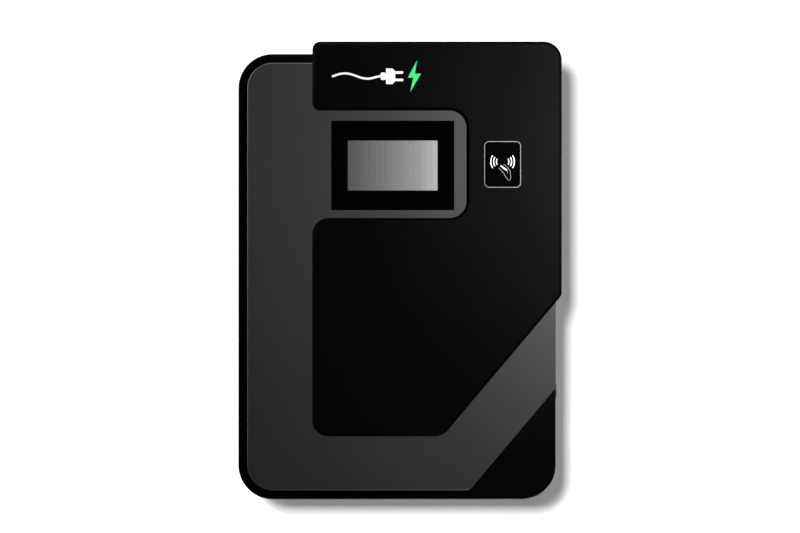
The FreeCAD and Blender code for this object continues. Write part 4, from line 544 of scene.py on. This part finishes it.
# %% [markdown]
# ## Ribs and plates on the power module
# A flat metal lid this large would drum, so its maker presses ribs into it.  A rib here is a low
# ridge carried along a line: its height is h times the square of cos(pi v / 2), where v runs from
# -1 to 1 across it, and it fades out at its ends by the same curve.

# %% Pressed ribs
def rib(x0, x1, z, half, height, depth, rows=9, columns=40):
    """A ridge on a flat face: height times cos squared across, and the same fade along its ends."""
    v = np.linspace(-1, 1, rows)[:, None]
    x = np.linspace(x0, x1, columns)[None, :]
    fade = np.clip(np.minimum(x - x0, x1 - x) / (2 * half), 0, 1)
    rise = height * np.cos(np.pi * v / 2) ** 2 * np.sin(np.pi * fade / 2) ** 2
    top = np.stack(np.broadcast_arrays(x, depth + rise, z + half * v), -1)
    base = np.stack(np.broadcast_arrays(x, depth - 0.4 + 0 * rise, z + half * v), -1)[:, ::-1]
    points = np.concatenate([top, base], axis=1).reshape(-1, 3)
    around = quads(rows, 2 * columns)
    caps = [list(range(2 * columns)), list(range((rows - 1) * 2 * columns, rows * 2 * columns))]
    return points, around + caps


ribs = [rib(x0 + 24, x1 - 24, z, 5, 2.2, d1) for z in (z1 - 28, z1 - 48)]
ribs += [rib(bx1 + 26, x1 - 24, z, 5, 2.2, d1) for z in (case_low + 28, case_low + 48, case_low + 68)]
piece("module_ribs", ribs, finishes["aluminium"], "housing", True)

# %% [markdown]
# ## Plates and markers
# Bought-in devices carry rating plates.  Their text would be unreadable and belongs to makers, so
# each plate here is white film with plain grey bars.  Markers on the clamps use the usual lead
# colours: brown, black, grey, blue, and green for earth.

# %% Films and the plate function
material, tree, shader, at = begin("white_polyester_film", "c9cac9", 0.4)
texture(tree, shader, at, 3.0, 0.003, "c2c3c2", "d0d1d0", (0.36, 0.46), 30.0)
film = material
markers = {}
for name, code in (("brown", "5a3317"), ("black", "141414"), ("grey", "7d8083"), ("blue", "1f4fa3"),
                   ("green", "2f8f3c"), ("amber", "c98412")):
    material, tree, shader, at = begin(name + "_marker_plastic", code, 0.42)
    patch = add(tree, "ShaderNodeTexNoise", {"Vector": at, "Scale": per(6.0)})
    sheen = add(tree, "ShaderNodeMapRange", {"Value": patch.outputs[0], "To Min": 0.34, "To Max": 0.52})
    tree.links.new(sheen.outputs[0], shader.inputs["Roughness"])
    markers[name] = material


def rating_plate(x, z, width, height, depth, bars):
    """A film and its bars: each bar is a share of the film's inside, (left, right, height, thickness)."""
    sheet = plate(rounded(x, z, width, height, min(width, height) * 0.08), depth - 0.05, depth + 0.15)
    lines = []
    for left, right, up, thick in bars:
        a, b = x + (left - 0.5) * width, x + (right - 0.5) * width
        lines.append(plate(rounded((a + b) / 2, z + (up - 0.5) * height, b - a, thick * height,
                                   thick * height * 0.3), depth + 0.10, depth + 0.22))
    return sheet, lines


BARS = ((0.08, 0.55, 0.82, 0.10), (0.08, 0.90, 0.62, 0.05), (0.08, 0.78, 0.50, 0.05),
        (0.08, 0.86, 0.38, 0.05), (0.08, 0.62, 0.26, 0.05), (0.08, 0.40, 0.14, 0.05))
FEW = ((0.12, 0.88, 0.70, 0.16), (0.12, 0.64, 0.32, 0.14))
rail = ends("surge_arrester")
nose, rail_z = rail[3], (rail[4] + rail[5]) / 2
breaker = ends("main_breaker")
breaker_x, breaker_z = (breaker[0] + breaker[1]) / 2, (breaker[4] + breaker[5]) / 2
switch, contactor_face = ends("dc_contactors"), 98  # mm from the wall, behind the contactors' studs
meter, supply = ends("energy_meter"), ends("control_supply")
cells = [(x1 - 106, case_low + 175, 130, 84, d1, BARS),
         (breaker_x, breaker_z + 30, 60, 20, breaker[3], FEW),
         (breaker_x, breaker_z - 30, 60, 20, breaker[3], FEW),
         ((rail[0] + rail[1]) / 2, rail_z - 14, 56, 9, nose, FEW),
         ((meter[0] + meter[1]) / 2, rail_z - 15, 58, 8, nose, FEW),
         ((supply[0] + supply[1]) / 2 - 8, rail_z, 56, 26, nose, BARS),
         (switch[0] + 33, switch[4] + 18, 44, 22, contactor_face, FEW),
         (switch[1] - 33, switch[4] + 18, 44, 22, contactor_face, FEW)]
made = [rating_plate(*cell) for cell in cells]
piece("device_plates", [sheet for sheet, _ in made], film, "housing")
piece("device_plate_bars", [line for _, lines in made for line in lines], markers["grey"], "housing")

# %% Clamp markers, surge windows, meter screen and the supply's lamp
clamp = ends("input_terminals")
for n, name in enumerate(("brown", "black", "grey", "blue", "green")):
    x = clamp[0] + 18 * n + 8.8
    tab = loft([(rounded(x, clamp[4] + 29, 11 - cut, 9 - cut, 1), depth) for cut, depth in
                ((0, clamp[3] - 0.3), (0, clamp[3] + 0.8), (0.8, clamp[3] + 1.2))])
    piece(f"clamp_marker_{n + 1}", [tab], markers[name], "housing")
cells = [loft([(rounded(rail[0] + 18 * n + 9, rail_z + 10, 8 - cut, 7 - cut, 1), depth)
               for cut, depth in ((0, nose - 0.2), (0, nose + 0.3), (0.6, nose + 0.5))])
         for n in range(4)]
piece("surge_windows", cells, markers["green"], "housing")
material, tree, shader, at = begin("reflective_lcd", "6f7a5e", 0.22)
texture(tree, shader, at, 3.0, 0.001, "687357", "76816a", (0.18, 0.26), 14.0)
screen = loft([(rounded((meter[0] + meter[1]) / 2, rail_z + 6, 46 - cut, 18 - cut, 1.5), depth)
               for cut, depth in ((0, nose - 0.2), (0, nose + 0.5), (0.8, nose + 0.9))])
piece("meter_screen", [screen], material, "housing")
lamp = screws([(supply[1] - 12, nose - 0.1, rail_z + 8)], 2.4, 1.6, "front")
piece("supply_lamp", lamp, markers["amber"], "housing", True)

# %% Screws in the rail devices and the clamps
rail_places = [(rail[0] + 18 * n + 9, nose - 28, rail_z + side) for n in range(15) for side in (-34, 34)]
clamp_places = [(clamp[0] + 18 * n + 8.8, clamp[3] - 11.9, clamp[4] + up)
                for n in range(5) for up in (12, 46)]
piece("rail_device_screws", screws(rail_places, 2.7, 1.8, "front", 16), finishes["steel"], "housing",
      True)
piece("clamp_screws", screws(clamp_places, 4.0, 2.4, "front", 16), finishes["steel"], "housing",
      True)

# %% [markdown]
# ## On the inside of the door
# The door's inside is where an electrician looks first, so it carries a plain circuit sketch on film
# between its two channels, and a ribbon cable that joins the display's board to the card reader's.
# The ribbon is a flat strip with a row of cores: both sides of its section ripple once for each
# core, and the section is carried along a bent line.

# %% Circuit sketch
cx, cz, back = 0.0, -150.0, 230.0
sheet = plate(rounded(cx, cz, 220, 112, 4), back - 0.20, back + 0.02)
boxes = [band(rounded(cx + x, cz + z, 34, 24, 1.5), rounded(cx + x, cz + z, 31.6, 21.6, 1.0),
              back - 0.32, back - 0.14) for x, z in ((-80, 20), (-20, 20), (40, 20), (-20, -28), (40, -28))]
wires = [stroke(np.linspace(a, b, 2) + (cx, cz), 1.2, back - 0.32, back - 0.14, 3) for a, b in
         (((-63, 20), (-37, 20)), ((-3, 20), (23, 20)), ((57, 20), (92, 20)), ((-20, 8), (-20, -16)),
          ((40, 8), (40, -16)), ((-3, -28), (23, -28)), ((57, -28), (92, -28)), ((-80, 8), (-80, -28)),
          ((-80, -28), (-37, -28)), ((92, 20), (92, -28)))]
piece("circuit_sketch_film", [sheet], film, "door")
piece("circuit_sketch_lines", boxes + wires, markers["black"], "door")

# %% Ribbon cable
def ribbon(line, width, cores, thick):
    """A strip along a line of (x, depth): each side of its section is z, +-thick / 2 (0.6 + 0.4 |cos|)."""
    line = np.asarray(line, float)
    run = np.gradient(line, axis=0)
    run /= np.linalg.norm(run, axis=1)[:, None]
    out = np.column_stack([-run[:, 1], run[:, 0]])
    v = np.linspace(-0.5, 0.5, cores * 4 + 1)
    half = thick / 2 * (0.6 + 0.4 * abs(np.cos(np.pi * cores * v)))
    across = np.concatenate([v, v[::-1]]) * width
    lift = np.concatenate([half, -half[::-1]])
    at_x = line[:, :1] + out[:, :1] * lift[None, :]
    at_depth = line[:, 1:] + out[:, 1:] * lift[None, :]
    points = np.stack([at_x, at_depth, np.broadcast_to(across, at_x.shape)], -1)
    n = len(across)
    last = (len(line) - 1) * n
    return points.reshape(-1, 3), quads(len(line), n) + [list(range(n)), list(range(last, last + n))]


t = np.linspace(0, 1, 50)
bend = (3 * t ** 2 - 2 * t ** 3)
path = np.column_stack([74 + 112 * t, 217.5 + 2.5 * np.sin(np.pi * t) + 24.6 * bend ** 6])
points, faces = ribbon(path, 16, 10, 1.2)
points[:, 2] += ends("reader_board")[4] + 41
piece("reader_ribbon", [(points, faces)], markers["grey"], "door", True)

# %% [markdown]
# ## Wall, floor, light and camera
# The unit hangs on a pale wall over a pale floor.  Both sheets are pale only on the side that faces
# the unit and clear from behind, so the unit can be looked at from any side.  A soft lamp up and to
# the left throws a short shadow on the wall, and a weak fill from the front keeps the shadow grey.
# One lamp could light everything, but its glare would wash out the black faces, so each light here
# is linked to what it lights.  A tall box close on the right gives the front its slow brightening
# towards that edge.  Boxes behind the plane of the front light only the sides, the top and the
# underside, and two more stand behind the wall for the back.  The inner box stands far in front and
# lights every part but the pieces of the door's face, so it shows the inside when the door is open.

# %% The wall and the floor
def sheet_of(name, corners):
    """A flat sheet through four corners, which faces the side from which they run anticlockwise."""
    mesh = bpy.data.meshes.new(name)
    mesh.from_pydata(corners, [], [(0, 1, 2, 3)])
    mesh.materials.append(backdrop)
    obj = bpy.data.objects.new(name, mesh)
    bpy.context.scene.collection.objects.link(obj)
    obj.visible_shadow = obj.visible_glossy = obj.visible_diffuse = False
    obj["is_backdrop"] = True
    return obj


backdrop = bpy.data.materials.new("matt_white_paint")
backdrop.use_nodes = True
tree = backdrop.node_tree
tree.nodes.clear()
chalk = add(tree, "ShaderNodeBsdfDiffuse", {"Color": linear("f2f2f2")})
clear = add(tree, "ShaderNodeBsdfTransparent")
side = add(tree, "ShaderNodeNewGeometry")
either = add(tree, "ShaderNodeMixShader", {"Fac": side.outputs["Backfacing"]})
tree.links.new(chalk.outputs[0], either.inputs[1])
tree.links.new(clear.outputs[0], either.inputs[2])
add(tree, "ShaderNodeOutputMaterial", {"Surface": either.outputs[0]})
wall = sheet_of("wall", [(-6, 0.0006, -1.25), (6, 0.0006, -1.25), (6, 0.0006, 4), (-6, 0.0006, 4)])
sheet_of("floor", [(-6, -9, -1.25), (6, -9, -1.25), (6, 0.0006, -1.25), (-6, 0.0006, -1.25)])
print("wall normal", [round(v, 2) for v in wall.data.polygons[0].normal])

# %% Lights, each with what it lights
stage_group = bpy.data.collections.new("lit_stage")
unit_group = bpy.data.collections.new("lit_unit")
for obj in bpy.context.scene.objects:
    if obj.type == "MESH":
        (stage_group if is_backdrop(obj) else unit_group).objects.link(obj)


def soft_box(name, place, aim, size, power, group):
    """An area light of size (width, height) at place, turned to face aim."""
    data = bpy.data.lights.new(name, "AREA")
    data.shape, data.size, data.size_y, data.energy = "RECTANGLE", size[0], size[1], power
    lamp = bpy.data.objects.new(name, data)
    lamp.location = place
    away = Vector(place) - Vector(aim)
    lamp.rotation_euler = away.to_track_quat("Z", "Y").to_euler()
    lamp.visible_camera = False
    lamp.light_linking.receiver_collection = group
    bpy.context.scene.collection.objects.link(lamp)
    return lamp


soft_box("wall_lamp", (-1.12, -8.7, 1.12), (0, 0, 0), (1.3, 1.3), 1300, stage_group)
soft_box("left_box", (-1.7, -0.10, 0.7), (-0.2, -0.12, 0), (0.2, 1.6), 60, unit_group)
soft_box("top_box", (-0.3, -0.10, 1.7), (0, -0.12, 0.4), (0.9, 0.2), 30, unit_group)
right_box = soft_box("right_box", (0.60, -0.56, 0.30), (0.10, -0.24, 0.2), (0.2, 0.6), 18, unit_group)
inner_group = bpy.data.collections.new("lit_inside")
outside = ("door_pan", "grey_fascia", "raised_cover", "display_glass", "display_print", "card_pad")
for obj in unit_group.objects:
    if not obj.name.startswith(outside) and not obj.name.startswith("mark_"):
        inner_group.objects.link(obj)
soft_box("inner_box", (-0.7, -2.6, 0.8), (0, 0, 0), (1.4, 1.4), 32, inner_group)
soft_box("back_left", (-2.6, 2.6, 1.6), (0, -0.1, 0), (1.6, 1.6), 130, unit_group)
soft_box("back_right", (2.6, 2.6, 0.4), (0, -0.1, 0), (1.6, 1.6), 110, unit_group)
soft_box("low_box", (0.3, -0.08, -1.5), (0, -0.12, -0.4), (0.9, 0.2), 20, unit_group)
soft_box("wall_fill", (0, -8.5, 0), (0, 0, 0), (1.0, 1.0), 190, stage_group).data.use_shadow = False

throws_shadow = bpy.data.collections.new("throws_shadow_from_right")
for obj in unit_group.objects:
    if obj.name != "raised_cover":
        throws_shadow.objects.link(obj)
right_box.light_linking.blocker_collection = throws_shadow

world = bpy.data.worlds.new("studio")
bpy.context.scene.world = world
world.use_nodes = True
tree = world.node_tree
tree.nodes.clear()
seen = add(tree, "ShaderNodeLightPath").outputs["Is Camera Ray"]
dim = add(tree, "ShaderNodeBackground", {"Color": linear("ffffff"), "Strength": 0.02})
pale = add(tree, "ShaderNodeBackground", {"Color": linear("ffffff"), "Strength": 1.0})
choose = add(tree, "ShaderNodeMixShader", {"Fac": seen})
tree.links.new(dim.outputs[0], choose.inputs[1])
tree.links.new(pale.outputs[0], choose.inputs[2])
add(tree, "ShaderNodeOutputWorld", {"Surface": choose.outputs[0]})

# %% The camera
lens = bpy.data.cameras.new("camera")
lens.lens, lens.sensor_width, lens.clip_end = 180.0, 36.0, 60.0
camera = bpy.data.objects.new("camera", lens)
front_plane, view_width = -0.237, 1.4  # metres: where the scale holds, and how wide the view is there
camera.location = (0.0053, front_plane - view_width * lens.lens / lens.sensor_width, 0.0177)
camera.rotation_euler = (math.pi / 2, 0, 0)
bpy.context.scene.collection.objects.link(camera)
bpy.context.scene.camera = camera
bpy.context.scene.view_settings.view_transform = "Standard"
print("camera", [round(v, 3) for v in camera.location])
